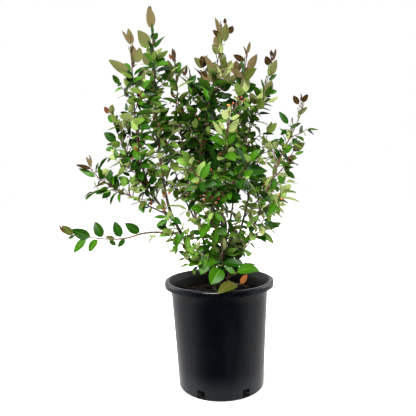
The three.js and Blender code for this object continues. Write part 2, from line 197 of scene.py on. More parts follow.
# %% Pot profile
_, pot_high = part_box("pot")
LIP_RADIUS = pot_high.x / MM
POT_HEIGHT = pot_high.z / MM
LIP_DEPTH = 10.5
LIP_WIDTH = 8.0
WALL = 1.9
WALL_TOP_RADIUS = 88.6
WALL_FOOT_RADIUS = 78.0
SHOULDER_FLARE = 3.0
SHOULDER_DEPTH = 13.0
FOOT_ROUNDING = 3.0
FOOT_RING_WIDTH = 8.0
BASE_LIFT = 4.5
BASE_PLATE = 2.0
CENTRE_PAD_RADIUS = 20.0
BASE_SLOPE = 2.0
POT_SIDES = 144
ARC_STEPS = 5
TINY = 1e-9


def rounded(corners):
    """Rounds each corner (radius, height, rounding): a curve that leaves one side and joins the next."""
    corners = np.array(corners)
    spots = corners[:, :2]
    back = np.roll(spots, 1, axis=0) - spots
    ahead = np.roll(spots, -1, axis=0) - spots
    back[0] = 0
    ahead[-1] = 0
    reach = corners[:, 2:]
    start = spots + back * reach / np.maximum(np.linalg.norm(back, axis=1, keepdims=True), TINY)
    end = spots + ahead * reach / np.maximum(np.linalg.norm(ahead, axis=1, keepdims=True), TINY)
    t = np.linspace(0, 1, ARC_STEPS)[None, :, None]
    arcs = start[:, None] * (1 - t) ** 2 + spots[:, None] * 2 * t * (1 - t) + end[:, None] * t ** 2
    return arcs.reshape(-1, 2)


def turned(profile, foot_height, head_height, sides):
    """Turns a profile of (radius, height) about the pot's axis and closes it with a point at each end."""
    angle = np.linspace(0, 2 * math.pi, sides, endpoint=False)
    radius = profile[:, :1]
    height = np.broadcast_to(profile[:, 1:], (len(profile), sides))
    rings = np.stack([radius * np.cos(angle), radius * np.sin(angle), height], axis=-1).reshape(-1, 3)
    return np.vstack([rings, [[0, 0, foot_height], [0, 0, head_height]]])


def wall_inside(height):
    """Radius of the wall's inner face: the outer taper, one wall thickness further in."""
    share = (height - FOOT_ROUNDING) / (POT_HEIGHT - LIP_DEPTH - FOOT_ROUNDING)
    return WALL_FOOT_RADIUS + (WALL_TOP_RADIUS - WALL_FOOT_RADIUS) * share - WALL


lip_foot = POT_HEIGHT - LIP_DEPTH
lip_soffit = POT_HEIGHT - WALL
lip_inside = LIP_RADIUS - LIP_WIDTH
foot_inside = WALL_FOOT_RADIUS - FOOT_ROUNDING - FOOT_RING_WIDTH
base_top = BASE_LIFT + BASE_PLATE
pot_profile = rounded([
    (CENTRE_PAD_RADIUS, 0, 0.5),
    (CENTRE_PAD_RADIUS + BASE_SLOPE, BASE_LIFT, 0.6),
    (foot_inside - BASE_SLOPE, BASE_LIFT, 0.6),
    (foot_inside, 0, 0.5),
    (WALL_FOOT_RADIUS, 0, FOOT_ROUNDING),
    (wall_inside(lip_foot - SHOULDER_DEPTH) + WALL, lip_foot - SHOULDER_DEPTH, 7.0),
    (WALL_TOP_RADIUS + SHOULDER_FLARE, lip_foot, 1.0),
    (lip_inside + WALL / 2, lip_soffit, 1.2),
    (LIP_RADIUS - WALL, lip_soffit, 0.8),
    (LIP_RADIUS - WALL, lip_foot, 0.4),
    (LIP_RADIUS, lip_foot, 0.8),
    (LIP_RADIUS, POT_HEIGHT, 3.2),
    (lip_inside, POT_HEIGHT, 2.6),
    (WALL_TOP_RADIUS - WALL, lip_foot, 3.0),
    (wall_inside(base_top), base_top, FOOT_ROUNDING),
])
print("pot profile has", len(pot_profile), "points, lip", round(2 * LIP_RADIUS), "mm across")

# %% Drain notches
NOTCH_COUNT = 6
NOTCH_WIDTH = 15.0
NOTCH_HEIGHT = 16.0
NOTCH_SILL = 1.2
NOTCH_REACH = 30.0
FIRST_NOTCH_ANGLE = math.radians(-57)


def notch_boxes():
    """Corners of one box for each notch, set out evenly round the foot, from a low sill up."""
    middle = (WALL_FOOT_RADIUS + foot_inside) / 2
    ends = middle + np.array([-0.5, 0.5])[:, None] * NOTCH_REACH
    across = np.array([-0.5, 0.5, 0.5, -0.5]) * NOTCH_WIDTH
    height = np.array([NOTCH_SILL, NOTCH_SILL, NOTCH_HEIGHT, NOTCH_HEIGHT])
    angle = FIRST_NOTCH_ANGLE + np.arange(NOTCH_COUNT)[:, None, None] * 2 * math.pi / NOTCH_COUNT
    x = np.cos(angle) * ends - np.sin(angle) * across
    y = np.sin(angle) * ends + np.cos(angle) * across
    rings = np.stack([x, y, np.broadcast_to(height, x.shape)], axis=-1)
    caps = rings.mean(axis=2)
    return np.concatenate([rings.reshape(NOTCH_COUNT, -1, 3), caps], axis=1)


cutter = make_piece("notch_cutter", notch_boxes(), ring_faces(NOTCH_COUNT, 2, 4), [])
print(NOTCH_COUNT, "notches,", NOTCH_WIDTH, "mm wide and up to", NOTCH_HEIGHT, "mm above the floor")

# %% Plastic outside and inside
PLASTIC_IOR = 1.49
FLOW_MARK = 0.030
GRIT = 0.004
CRUST = 0.007
DUST_AND_REFLECTION_TOP = 0.050
DUST_AND_REFLECTION_FULL = 0.012


def moulded_black_plastic():
    """Moulded black polypropylene: satin and blue-black, with faint flow marks, and paler towards the foot:
    partly dust, partly a painted reflection of the white floor.
    """
    finish = new_finish("moulded black polypropylene", "#020305", 0.28, PLASTIC_IOR, specular=0.22)
    tree, shader, place = start_pattern(finish)
    flow = add(tree, "ShaderNodeMapping", {"Vector": place, "Scale": (1, 1, 0.25)}).outputs["Vector"]
    cloud = add(tree, "ShaderNodeTexNoise", {"Vector": flow, "Scale": 1 / FLOW_MARK, "Detail": 4.0})
    cloud = cloud.outputs["Fac"]
    skin_colour = blend_colours(tree, cloud, [(0.35, "#010204"), (0.6, "#010306"), (0.78, "#030508")])
    # Towards the foot the black turns grey: partly dust, partly a painted reflection of the white floor,
    # which the plastic doesn't mirror.
    height = add(tree, "ShaderNodeSeparateXYZ", {"Vector": place}).outputs["Z"]
    dust_and_reflection_range = {"Value": height, "From Min": DUST_AND_REFLECTION_TOP, "From Max": DUST_AND_REFLECTION_FULL, "To Max": 0.5}
    dust_and_reflection = add(tree, "ShaderNodeMapRange", dust_and_reflection_range, interpolation_type="SMOOTHSTEP").outputs["Result"]
    dusty_and_reflecting = {0: dust_and_reflection, 6: skin_colour, 7: linear("#1C1E20")}
    colour = add(tree, "ShaderNodeMix", dusty_and_reflecting, data_type="RGBA").outputs[2]
    gloss_range = {"Value": cloud, "From Min": 0.3, "From Max": 0.7, "To Min": 0.20, "To Max": 0.32}
    dull = add(tree, "ShaderNodeMapRange", gloss_range).outputs["Result"]
    grit = add(tree, "ShaderNodeTexNoise", {"Vector": place, "Scale": 1 / GRIT, "Detail": 3.0}).outputs["Fac"]
    skin = add(tree, "ShaderNodeBump", {"Height": grit, "Strength": 0.08, "Distance": 0.0004})
    tree.links.new(colour, shader.inputs["Base Color"])
    tree.links.new(dull, shader.inputs["Roughness"])
    tree.links.new(skin.outputs["Normal"], shader.inputs["Normal"])
    return finish


def crusted_plastic():
    """The pot's inner wall: the same plastic, made dull by a crust of dried mix and lime."""
    finish = new_finish("crusted black polypropylene", "#060606", 0.6, PLASTIC_IOR, specular=0.25)
    tree, shader, place = start_pattern(finish)
    crust = add(tree, "ShaderNodeTexNoise", {"Vector": place, "Scale": 1 / CRUST, "Detail": 4.0})
    stops = [(0.4, "#040506"), (0.6, "#0A0A09"), (0.75, "#1A1814")]
    colour = blend_colours(tree, crust.outputs["Fac"], stops)
    tree.links.new(colour, shader.inputs["Base Color"])
    return finish


pot_finishes = [moulded_black_plastic(), crusted_plastic()]
print("the pot's plastics:", [finish.name for finish in pot_finishes])

# %% Pot piece
INNER_RINGS = 2 * ARC_STEPS + 2

pot_faces = ring_faces(1, len(pot_profile), POT_SIDES)
wall_quads = len(pot_faces[0])
inside = np.zeros(wall_quads + len(pot_faces[1]), dtype=bool)
inside[wall_quads - INNER_RINGS * POT_SIDES:wall_quads] = True
pot_points = turned(pot_profile, 0, base_top, POT_SIDES)
pot = make_piece("nursery_pot", pot_points, pot_faces, pot_finishes, inside)
cut = pot.modifiers.new("drain notches", "BOOLEAN")
cut.operation = "DIFFERENCE"
cut.solver = "EXACT"
cut.object = cutter
pot_mesh = bpy.data.meshes.new_from_object(pot.evaluated_get(bpy.context.evaluated_depsgraph_get()))
pot.modifiers.clear()
pot.data = pot_mesh
pot_mesh.set_sharp_from_angle(angle=math.radians(CREASE))
bpy.data.objects.remove(cutter)
settle(pot, "pot", "pot")

# %% [markdown]
# ## Potting mix
# The pot is filled to two fingers below the lip with a dark mix of composted bark. Close to, it is a heap
# of chips and crumbs with a few white grains of perlite. A displaced disc alone looks like mud, so the disc
# gives the uneven ground, and several hundred flat chips lie on it, half sunk in, each with its own
# outline.

# %% Ground of the mix
MIX_TOP = 173.0
MIX_SIDES = 120
MIX_RINGS = 46
MIX_SEED = 7
MIDDLE_RING = 2.0
WALL_CLEARANCE = 0.3
MOUND_RADIUS = 26.0
MOUND_FOOT = 74.0
MOUND_FALL = 6.5
MOUND_RISE = 1.4
HOLLOW_LENGTHS = (45, 90)
HOLLOW_COUNT = 6
HOLLOW_HEIGHT = 0.6
CRUMB_LENGTHS = (5, 12)
CRUMB_COUNT = 14
CRUMB_HEIGHT = 0.5
UNEVENNESS = 1.3
CRUMB_SIZE = 0.004
MIX_CREASE = 70
BARK_IOR = 1.4


def wavy(x, y, lengths, count, source):
    """Even bumps: the sum of sine waves that cross in all directions, over the root of their number."""
    heading = source.uniform(0, 2 * math.pi, count)
    pace = 2 * math.pi / source.uniform(*lengths, count)
    phase = source.uniform(0, 2 * math.pi, count)
    lines = np.multiply.outer(x, np.cos(heading) * pace) + np.multiply.outer(y, np.sin(heading) * pace)
    return np.sin(lines + phase).sum(axis=-1) / math.sqrt(count)


def mix_height(x, y):
    """Height of the mix: a low mound about the stems, with slow hollows and small crumbs."""
    source = np.random.default_rng(MIX_SEED)
    down = np.clip((np.hypot(x, y) - MOUND_RADIUS) / (MOUND_FOOT - MOUND_RADIUS), 0, 1)
    mound = -MOUND_FALL * down ** 2 * (3 - 2 * down)
    hollows = wavy(x, y, HOLLOW_LENGTHS, HOLLOW_COUNT, source)
    crumbs = wavy(x, y, CRUMB_LENGTHS, CRUMB_COUNT, source)
    mound = MIX_TOP + MOUND_RISE + mound
    return mound + hollows * UNEVENNESS * HOLLOW_HEIGHT + crumbs * UNEVENNESS * CRUMB_HEIGHT


def mix_points():
    """Rings from the mix's foot up inside the wall and over the top to the middle, closed at both ends."""
    edge = wall_inside(MIX_TOP - MOUND_FALL) - WALL_CLEARANCE
    foot = base_top + WALL_CLEARANCE
    bend = foot + FOOT_ROUNDING
    sides = np.array([[wall_inside(bend) - FOOT_ROUNDING - WALL_CLEARANCE, foot],
                      [wall_inside(bend) - WALL_CLEARANCE, bend]])
    top = np.column_stack([np.linspace(edge, MIDDLE_RING, MIX_RINGS), np.full(MIX_RINGS, MIX_TOP)])
    points = turned(np.vstack([sides, top]), foot, MIX_TOP, MIX_SIDES)
    ground = slice(2 * MIX_SIDES, (2 + MIX_RINGS) * MIX_SIDES)
    points[ground, 2] = mix_height(points[ground, 0], points[ground, 1])
    points[-1, 2] = mix_height(np.zeros(1), np.zeros(1))[0]
    return points


def composted_bark():
    """Composted bark, damp and matt: nearly black crumbs with brown fibres a few millimetres apart."""
    finish = new_finish("composted bark mix", "#0C0806", 0.95, BARK_IOR, specular=0.05)
    tree, shader, place = start_pattern(finish)
    crumbs = add(tree, "ShaderNodeTexNoise", {"Vector": place, "Scale": 1 / CRUMB_SIZE, "Detail": 5.0})
    crumbs = crumbs.outputs["Fac"]
    colour = blend_colours(tree, crumbs, [(0.35, "#020101"), (0.55, "#060403"), (0.75, "#130C07")])
    lumps = add(tree, "ShaderNodeBump", {"Height": crumbs, "Strength": 0.8, "Distance": 0.002})
    tree.links.new(colour, shader.inputs["Base Color"])
    tree.links.new(lumps.outputs["Normal"], shader.inputs["Normal"])
    return finish


mix_faces = ring_faces(1, MIX_RINGS + 2, MIX_SIDES)
ground = make_piece("potting_mix_ground", mix_points(), mix_faces, [composted_bark()], crease=MIX_CREASE)
settle(ground, "potting_mix", "potting_mix")

# %% Chips and perlite
CHIP_SEED = 31
CHIP_COUNT = 620
CHIP_RINGS = 3
CHIP_SIDES = 6
CHIP_CREASE = 30
CHIP_GROWTH = (4, 1.5)
CHIP_SHORTEST = 2.5
CHIP_SINK = (-0.3, 1.1)
CHIP_TILT = 0.22
CHIP_ROLL = 0.3
CHIP_UNEVEN = (0.65, 1.2)
CHIP_BREADTH = 0.26
CHIP_DEPTH = 0.13
CHIP_DEPTH_LENGTH = 9.0
CHIP_RING_REACH = 0.42
CHIP_WALL_ROOM = 5.0
CHIP_SHADES = {"#090604": 4, "#0F0A06": 4, "#1E130C": 2.0, "#3A281C": 0.4, "#050303": 4}
PERLITE_SHADE = "#D8D2C4"
PERLITE_SHARE = 0.28
PERLITE_LENGTH = 4.5


def turned_frames(heading, tilt, roll):
    """Three square axes for each chip: a heading, tipped up by the tilt and rolled about its own length."""
    level = np.cos(tilt)
    forward = np.stack([np.cos(heading) * level, np.sin(heading) * level, np.sin(tilt)], axis=-1)
    flat = np.stack([-np.sin(heading), np.cos(heading), np.zeros_like(heading)], axis=-1)
    upward = np.cross(forward, flat)
    roll = roll[:, None]
    return forward, flat * np.cos(roll) + upward * np.sin(roll), upward * np.cos(roll) - flat * np.sin(roll)


def chip_points(is_perlite, source):
    """Flat bars: rings of an uneven ellipse along each chip, scaled to its length, width and thickness."""
    distance = np.sqrt(source.uniform(0, 1, CHIP_COUNT)) * (wall_inside(MIX_TOP) - CHIP_WALL_ROOM)
    bearing = source.uniform(0, 2 * math.pi, CHIP_COUNT)
    x = distance * np.cos(bearing)
    y = distance * np.sin(bearing)
    z = mix_height(x, y) + source.uniform(*CHIP_SINK, CHIP_COUNT)
    length = source.gamma(*CHIP_GROWTH, CHIP_COUNT) + CHIP_SHORTEST
    length = np.where(is_perlite, np.minimum(length, PERLITE_LENGTH), length)
    frames = turned_frames(source.uniform(0, 2 * math.pi, CHIP_COUNT),
                           source.normal(0, CHIP_TILT, CHIP_COUNT), source.normal(0, CHIP_ROLL, CHIP_COUNT))
    along = np.linspace(-CHIP_RING_REACH, CHIP_RING_REACH, CHIP_RINGS)
    angle = np.linspace(0, 2 * math.pi, CHIP_SIDES, endpoint=False)
    uneven = source.uniform(*CHIP_UNEVEN, (CHIP_COUNT, CHIP_RINGS, CHIP_SIDES))
    breadth = np.cos(angle) * uneven * length[:, None, None] * CHIP_BREADTH
    depth = np.sin(angle) * uneven * np.minimum(length, CHIP_DEPTH_LENGTH)[:, None, None] * CHIP_DEPTH
    run = np.broadcast_to(along[None, :, None], uneven.shape) * length[:, None, None]
    forward, flat, upward = (axis[:, None, None, :] for axis in frames)
    middle = np.stack([x, y, z], axis=-1)
    rings = forward * run[..., None] + flat * breadth[..., None] + upward * depth[..., None]
    tips = frames[0][:, None, :] * np.array([-0.5, 0.5])[:, None] * length[:, None, None]
    return middle[:, None] + np.concatenate([rings.reshape(CHIP_COUNT, -1, 3), tips], axis=1)


def deal(count, shares, source):
    """An index for each of count things, dealt out in the given shares."""
    return source.choice(len(shares), count, p=np.array(shares) / np.sum(shares))


chip_shades = [new_finish("bark chip " + shade[1:], shade, 0.9, BARK_IOR, 0.1) for shade in CHIP_SHADES]
chip_shades.append(new_finish("expanded perlite", PERLITE_SHADE, 0.9, 1.5, specular=0.3))
source = np.random.default_rng(CHIP_SEED)
chip_deal = deal(CHIP_COUNT, [*CHIP_SHADES.values(), PERLITE_SHARE], source)
chip_faces = ring_faces(CHIP_COUNT, CHIP_RINGS, CHIP_SIDES)
chip_finish = np.concatenate([np.repeat(chip_deal, len(part) // CHIP_COUNT) for part in chip_faces])
chip_bars = chip_points(chip_deal == len(CHIP_SHADES), source)
chips = make_piece("bark_chips", chip_bars, chip_faces, chip_shades, chip_finish, crease=CHIP_CREASE)
settle(chips, "potting_mix", "potting_mix")

# %% [markdown]
# ## The limbs
# The shrub grows by one rule, the same that made the CAD solids. A limb is a smooth curve: it leaves its
# carrier in a given heading, and bends so that it arrives at its tip leaning upwards. Stems rise from the
# mix, boughs leave stems, and a leafy shoot leads on from a bough's tip or from its side. The tables give
# only what carries a limb, how far along, and where its tip is, in millimetres from the middle of the pot's
# foot.

# %% Limb tables
STEMS = {
    "left_stem": ((-9, -6), (-82, -30, 321), 3.3),
    "left_back_stem": ((-5, 9), (-50, 35, 344), 2.5),
    "centre_stem": ((4, 1), (15, 0, 289), 2.9),
    "right_stem": ((14, -5), (79, -25, 334), 2.5),
    "right_back_stem": ((15, 10), (64, 55, 356), 2.4),
    "back_stem": ((3, 19), (-10, 80, 347), 2.5),
    "front_stem": ((3, -16), (8, -70, 338), 2.4),
}
BOUGHS = {
    "left_tall_bough": ("left_stem", 1, (-96, -15, 383)),
    "left_upright_bough": ("left_stem", 0.9, (-112, -46, 360)),
    "left_side_bough": ("left_upright_bough", 0.3, (-152, -48, 354), 0),
    "left_low_bough": ("left_stem", 0.74, (-142, -52, 285), -0.35),
    "back_left_bough": ("left_back_stem", 0.72, (-85, 90, 400)),
    "centre_back_bough": ("centre_stem", 1, (-20, 15, 359)),
    "centre_front_bough": ("centre_stem", 0.82, (6, -28, 360)),
    "centre_right_bough": ("centre_stem", 0.68, (34, 12, 368)),
    "right_bough": ("right_stem", 1, (105, -28, 395)),
}
SHOOTS = {
    "left_tall": ("left_tall_bough", 1, (-108, -20, 678)),
    "left_upright": ("left_upright_bough", 1, (-139, -75, 625)),
    "left_shoulder": ("left_upright_bough", 0.6, (-183, -70, 504)),
    "left_side": ("left_side_bough", 1, (-235, -60, 415)),
    "left_low": ("left_low_bough", 1, (-264, -70, 289), 0.15),
    "left_elbow": ("left_stem", 0.56, (-96, -70, 300)),
    "back_left_tall": ("left_back_stem", 1, (-77, 50, 627)),
    "back_left_inner": ("left_back_stem", 0.86, (-50, 100, 606)),
    "back_left_outer": ("back_left_bough", 1, (-132, 140, 580)),
    "back_left_low": ("back_left_bough", 0.6, (-150, 115, 420)),
    "centre_tall": ("centre_back_bough", 1, (18, 20, 671)),
    "centre_inner": ("centre_back_bough", 0.75, (-21, 78, 623)),
    "centre_front": ("centre_front_bough", 1, (60, -55, 601)),
    "front_tall": ("centre_front_bough", 0.72, (20, -130, 470)),
    "centre_right": ("centre_right_bough", 1, (113, 25, 612)),
    "right_outer": ("right_bough", 1, (162, -35, 522)),
    "right_mid": ("right_bough", 0.7, (155, -4, 446)),
    "right_low": ("right_stem", 0.62, (104, -58, 306), 0.1),
    "right_lower": ("right_stem", 0.86, (123, -80, 370)),
    "right_back": ("right_back_stem", 1, (112, 85, 492)),
    "right_back_tall": ("right_back_stem", 0.9, (44, 110, 620)),
    "right_back_side": ("right_back_stem", 0.72, (140, 125, 420)),
    "back_tall": ("back_stem", 1, (-26, 145, 590)),
    "back_mid": ("back_stem", 0.78, (-30, 190, 450)),
    "back_right": ("back_stem", 0.9, (62, 175, 520)),
    "front_left": ("front_stem", 0.88, (-50, -140, 423)),
    "front_right": ("front_stem", 1, (62, -130, 425)),
    "front_low": ("front_stem", 0.68, (-34, -125, 350)),
    "base_left": ("left_stem", 0.28, (-44, -60, 248)),
    "base_front": ("front_stem", 0.16, (28, -76, 206), -0.4),
    "base_right": ("right_stem", 0.25, (64, -40, 226), 0.1),
    "centre_low": ("centre_stem", 0.4, (44, 4, 265)),
    "centre_mid": ("centre_stem", 0.56, (42, -40, 325)),
    "left_inner": ("left_back_stem", 0.45, (-36, -28, 318)),
    "right_inner": ("right_stem", 0.45, (72, -40, 290)),
    "back_low": ("back_stem", 0.45, (10, 95, 285)),
}
print(len(STEMS), "stems,", len(BOUGHS), "boughs and", len(SHOOTS), "leafy shoots")

# %% Limb curves
UP = np.array([0.0, 0.0, 1.0])
CURVE_STEPS = 120
STEM_PULL = 0.2
LIMB_PULL = 1 / 3
LIMB_LIFT = 0.45
SIDE_LIMB_LEAN = 0.3
SIDE_LIMB_RISE = np.array([1.0, 1.0, 0.6])
SIDE_LIMB_SHARE = 0.8
LIMB_TAPER = 0.74
SHOOT_TIP_RADIUS = 0.7
TIP_LEAF_REACH = 30.0


def unit(v):
    """A vector, or each row of an array of them, at length one."""
    return v / np.linalg.norm(v, axis=-1, keepdims=True)


def limb_curve(start, heading, tip, pull, lift):
    """A cubic curve from start along heading to tip, where it leans up by lift, as evenly spaced points."""
    chord = tip - start
    reach = np.linalg.norm(chord)
    arrival = unit(unit(chord) + UP * lift)
    corners = np.array([start, start + heading * reach * pull, tip - arrival * reach / 3, tip])
    t = np.linspace(0, 1, CURVE_STEPS + 1)[:, None]
    points = np.hstack([(1 - t) ** 3, 3 * t * (1 - t) ** 2, 3 * t ** 2 * (1 - t), t ** 3]) @ corners
    run = np.append(0, np.cumsum(np.linalg.norm(np.diff(points, axis=0), axis=1)))
    even = np.linspace(0, run[-1], CURVE_STEPS + 1)
    return np.column_stack([np.interp(even, run, points[:, axis]) for axis in range(3)])


def spot_on(curve, share):
    """The point at a share of the curve's length, and the curve's heading there."""
    place = min(max(share, 0.0), 1.0) * CURVE_STEPS
    step = min(int(place), CURVE_STEPS - 1)
    point = curve[step] + (curve[step + 1] - curve[step]) * (place - step)
    return point, unit(curve[step + 1] - curve[step])


def length_of(curve):
    """Length of a curve of evenly spaced points."""
    return np.linalg.norm(curve[1] - curve[0]) * CURVE_STEPS


limbs = {}
for name, (foot, tip, radius) in STEMS.items():
    start = np.array([*foot, MIX_TOP], float)
    curve = limb_curve(start, UP, np.array(tip, float), STEM_PULL, LIMB_LIFT)
    limbs[name] = (curve, radius, radius * LIMB_TAPER)
for name, (carrier, share, tip, *lift) in {**BOUGHS, **SHOOTS}.items():
    curve, foot_radius, tip_radius = limbs[carrier]
    start, along = spot_on(curve, share)
    end = np.array(tip, float)
    if name in SHOOTS:
        end = end - unit(end - start) * TIP_LEAF_REACH
    radius = foot_radius + (tip_radius - foot_radius) * share
    heading = along
    if share < 1:
        heading = unit((unit(end - start) + along * SIDE_LIMB_LEAN) * SIDE_LIMB_RISE)
        radius = radius * SIDE_LIMB_SHARE
    tip_radius = SHOOT_TIP_RADIUS if name in SHOOTS else radius * LIMB_TAPER
    curve = limb_curve(start, heading, end, LIMB_PULL, lift[0] if lift else LIMB_LIFT)
    limbs[name] = (curve, radius, tip_radius)
print(round(sum(length_of(curve) for curve, _, _ in limbs.values()) * MM, 1), "m of wood")

# %% [markdown]
# ## Bark on stems and boughs
# The older wood is dark grey-brown, not quite round, with shallow ridges along it, swellings where leaves
# once stood, and a flare where it enters the mix. A bump map would leave the outline of each stem smooth,
# so the relief is in the mesh: the radius of each ring is the limb's taper times the ridges, knots and
# flare.

# %% Round bars and bark relief
BARK_SIDES = 14
BARK_STEP = 2.4
BARK_CREASE = 60
FEWEST_RINGS = 8
ROOT_FLARE = 0.5
ROOT_FLARE_HEIGHT = 9.0
KNOT_SPACING = 15.0
KNOT_HEIGHT = 0.16
KNOT_LENGTH = 2.2
RIDGE_HEIGHT = 0.09
GOLDEN_ANGLE = math.radians(137.5)


def tubes(paths, radii, sides):
    """Round bars along paths: each ring is its centre plus the radius times a cosine and a sine across it."""
    heading = unit(np.gradient(paths, axis=1))
    chord = unit(paths[:, -1] - paths[:, 0])
    least = np.eye(3)[np.argmin(np.abs(chord), axis=1)][:, None, :]
    first = unit(np.cross(heading, least))
    second = np.cross(heading, first)
    angle = np.linspace(0, 2 * math.pi, sides, endpoint=False)[:, None]
    ring = first[:, :, None] * np.cos(angle) + second[:, :, None] * np.sin(angle)
    points = paths[:, :, None] + ring * radii[..., None]
    bars = len(paths)
    return np.concatenate([points.reshape(bars, -1, 3), paths[:, :1], paths[:, -1:]], axis=1)


def bark_radii(length, foot_radius, tip_radius, flare, source):
    """Radius of each point of a limb: taper, times flare at the foot, times one plus its knots and ridges.

    The ridges are two waves, three and five to a turn, that wind slowly along the limb, and some chance.
    """
    rings = max(int(length / BARK_STEP), FEWEST_RINGS)
    run = np.linspace(0, length, rings)[:, None]
    angle = np.linspace(0, 2 * math.pi, BARK_SIDES, endpoint=False)[None, :]
    taper = foot_radius + (tip_radius - foot_radius) * run / length
    swell = 1 + flare * np.exp(-run / ROOT_FLARE_HEIGHT)
    number = np.round(run / KNOT_SPACING)
    bearing = number * GOLDEN_ANGLE + source.uniform(0, 2 * math.pi)
    knots = np.exp(-((run - number * KNOT_SPACING) / KNOT_LENGTH) ** 2) * (1 + np.cos(angle - bearing)) / 2
    phase = source.uniform(0, 2 * math.pi, 4)
    ridges = np.sin(3 * angle + run / 14 + phase[0]) * 0.5 + np.sin(5 * angle - run / 9 + phase[1]) * 0.5
    ridges = ridges * (0.7 + 0.3 * np.sin(run / 5 + phase[2])) + source.normal(0, 0.25, (rings, BARK_SIDES))
    return taper * swell * (1 + KNOT_HEIGHT * knots + RIDGE_HEIGHT * ridges)


print("bark rings stand", BARK_STEP, "mm apart")

# %% Bark pieces
BARK_SEED = 41
WOOD_IOR = 1.45
STREAK_WIDTH = 0.005
SPOT_WIDTH = 0.0016


def stem_bark():
    """Young cotoneaster bark: grey-brown and matt, with some pale streaks along the wood and a fine grain."""
    finish = new_finish("grey-brown stem bark", "#4A3E35", 0.85, WOOD_IOR, specular=0.3)
    tree, shader, place = start_pattern(finish)
    grain = add(tree, "ShaderNodeMapping", {"Vector": place, "Scale": (1, 1, 0.3)}).outputs["Vector"]
    streaks = add(tree, "ShaderNodeTexNoise", {"Vector": grain, "Scale": 1 / STREAK_WIDTH, "Detail": 4.0})
    stops = [(0.3, "#1C1610"), (0.5, "#362B20"), (0.68, "#574A37"), (0.8, "#7C6E55")]
    colour = blend_colours(tree, streaks.outputs["Fac"], stops)
    spots = add(tree, "ShaderNodeTexNoise", {"Vector": place, "Scale": 1 / SPOT_WIDTH, "Detail": 2.0})
    grain_height = spots.outputs["Fac"]
    relief = add(tree, "ShaderNodeBump", {"Height": grain_height, "Strength": 0.5, "Distance": 0.0005})
    tree.links.new(colour, shader.inputs["Base Color"])
    tree.links.new(relief.outputs["Normal"], shader.inputs["Normal"])
    return finish


bark = stem_bark()
for number, name in enumerate({**STEMS, **BOUGHS}):
    curve, foot_radius, tip_radius = limbs[name]
    flare = ROOT_FLARE if name in STEMS else 0.0
    source = np.random.default_rng([BARK_SEED, number])
    radii = bark_radii(length_of(curve), foot_radius, tip_radius, flare, source)
    places = np.linspace(0, CURVE_STEPS, len(radii))
    steps = np.arange(CURVE_STEPS + 1)
    path = np.column_stack([np.interp(places, steps, curve[:, axis]) for axis in range(3)])
    limb = make_piece(name + "_bark", tubes(path[None], radii[None], BARK_SIDES),
                      ring_faces(1, len(radii), BARK_SIDES), [bark], crease=BARK_CREASE)
    settle(limb, "bark", name)

# %% [markdown]
# ## Growing the shoots
# Each shoot carries leaves one by one up its length, each a golden angle round from the last, so that no
# leaf stands over the next. In the lower part of a shoot side twigs and short spurs grow from the same
# nodes, with smaller leaves and now and then a bunch of berries. Leaves spread wide low down and close up
# towards the tip. Growth is kept to the space that the shoot's CAD solid holds and above the pot's lip, and
# a leaf that would meet wood or another leaf is turned on, and left out if no place is free.

# %% Free places
SPACE_MARGIN = 13.0
LEAF_CLEARANCE = 4.0
WOOD_CLEARANCE = 2.5
OWN_WOOD_REACH = 7.0
POT_CLEARANCE = 22.0
LEAF_PROBES = np.array([0.5, 0.75, 1.0])[:, None]

wood = np.vstack([curve for curve, _, _ in limbs.values()])
leaves = []
leaf_spots = [np.zeros((0, 3))]
twigs = []
berries = []


def side_of(heading, turn):
    """A unit vector square to the heading, turned about it."""
    least = np.eye(3)[np.argmin(np.abs(heading))]
    first = unit(np.cross(heading, least))
    return first * math.cos(turn) + np.cross(heading, first) * math.sin(turn)


def clear_of_pot(spots):
    """True if no spot is lower than a little above the pot's lip."""
    return np.all(spots[:, 2] > POT_HEIGHT + POT_CLEARANCE)


def is_free(spots, root, space):
    """True if the spots keep to their space, off the pot, off other wood and off the leaves already there."""
    if np.any(spots < space[0]) or np.any(spots > space[1]) or not clear_of_pot(spots):
        return False
    others = wood[np.linalg.norm(wood - root, axis=1) > OWN_WOOD_REACH]
    if np.linalg.norm(others[:, None] - spots, axis=2).min() < WOOD_CLEARANCE:
        return False
    placed = np.vstack(leaf_spots)
    return not len(placed) or np.linalg.norm(placed[:, None] - spots, axis=2).min() > LEAF_CLEARANCE


print("wood is sampled at", len(wood), "points")

# %% One leaf and one twig
LIGHT_FROM = 480.0
CLOSED_ABOVE = 640.0
BROAD_BELOW = 258.0
BROAD_GAIN = 1.2
LEAF_DROOP = 0.3
LEAF_ROLL = 0.45
LEAF_WIDTHS = (0.40, 0.53)
LEAF_FOLDS = (0.16, 0.48)
LEAF_BENDS = (0.15, 0.75)
LEAF_TWIST = 0.25
FOLDED_NARROWER = 0.35
FOLDED_STEEPER = 0.55
FOLDED_STRAIGHTER = 0.8
SUN_HEIGHT = 40.0
FRONT = np.array([0.0, -1.0, 0.0])
SHOWN_SIDES = (-1.0, 0.9, 0.9)
TWIG_RINGS = 6
TWIG_RADIUS = 1.0
TWIG_TAPER = 0.55
TRY_TURN = math.radians(67)
TRIES = 4


def place_leaf(root, aim, wish, length, tint, source, folded=0.0, **set_by_hand):
    """Sets one leaf along aim, with its upper face turned as near as it can be to the wish."""
    face = unit(wish - aim * (aim @ wish))
    leaf = {
        "root": root, "aim": aim, "face": face, "length": length, "tint": tint,
        "width": source.uniform(*LEAF_WIDTHS) * (1 - FOLDED_NARROWER * folded),
        "fold": source.uniform(*LEAF_FOLDS) + FOLDED_STEEPER * folded,
        "bend": source.uniform(*LEAF_BENDS) * (1 - FOLDED_STRAIGHTER * folded),
        "twist": source.normal(0, LEAF_TWIST),
    }
    leaves.append({**leaf, **set_by_hand})
    leaf_spots.append(root + aim * length * LEAF_PROBES[:2])


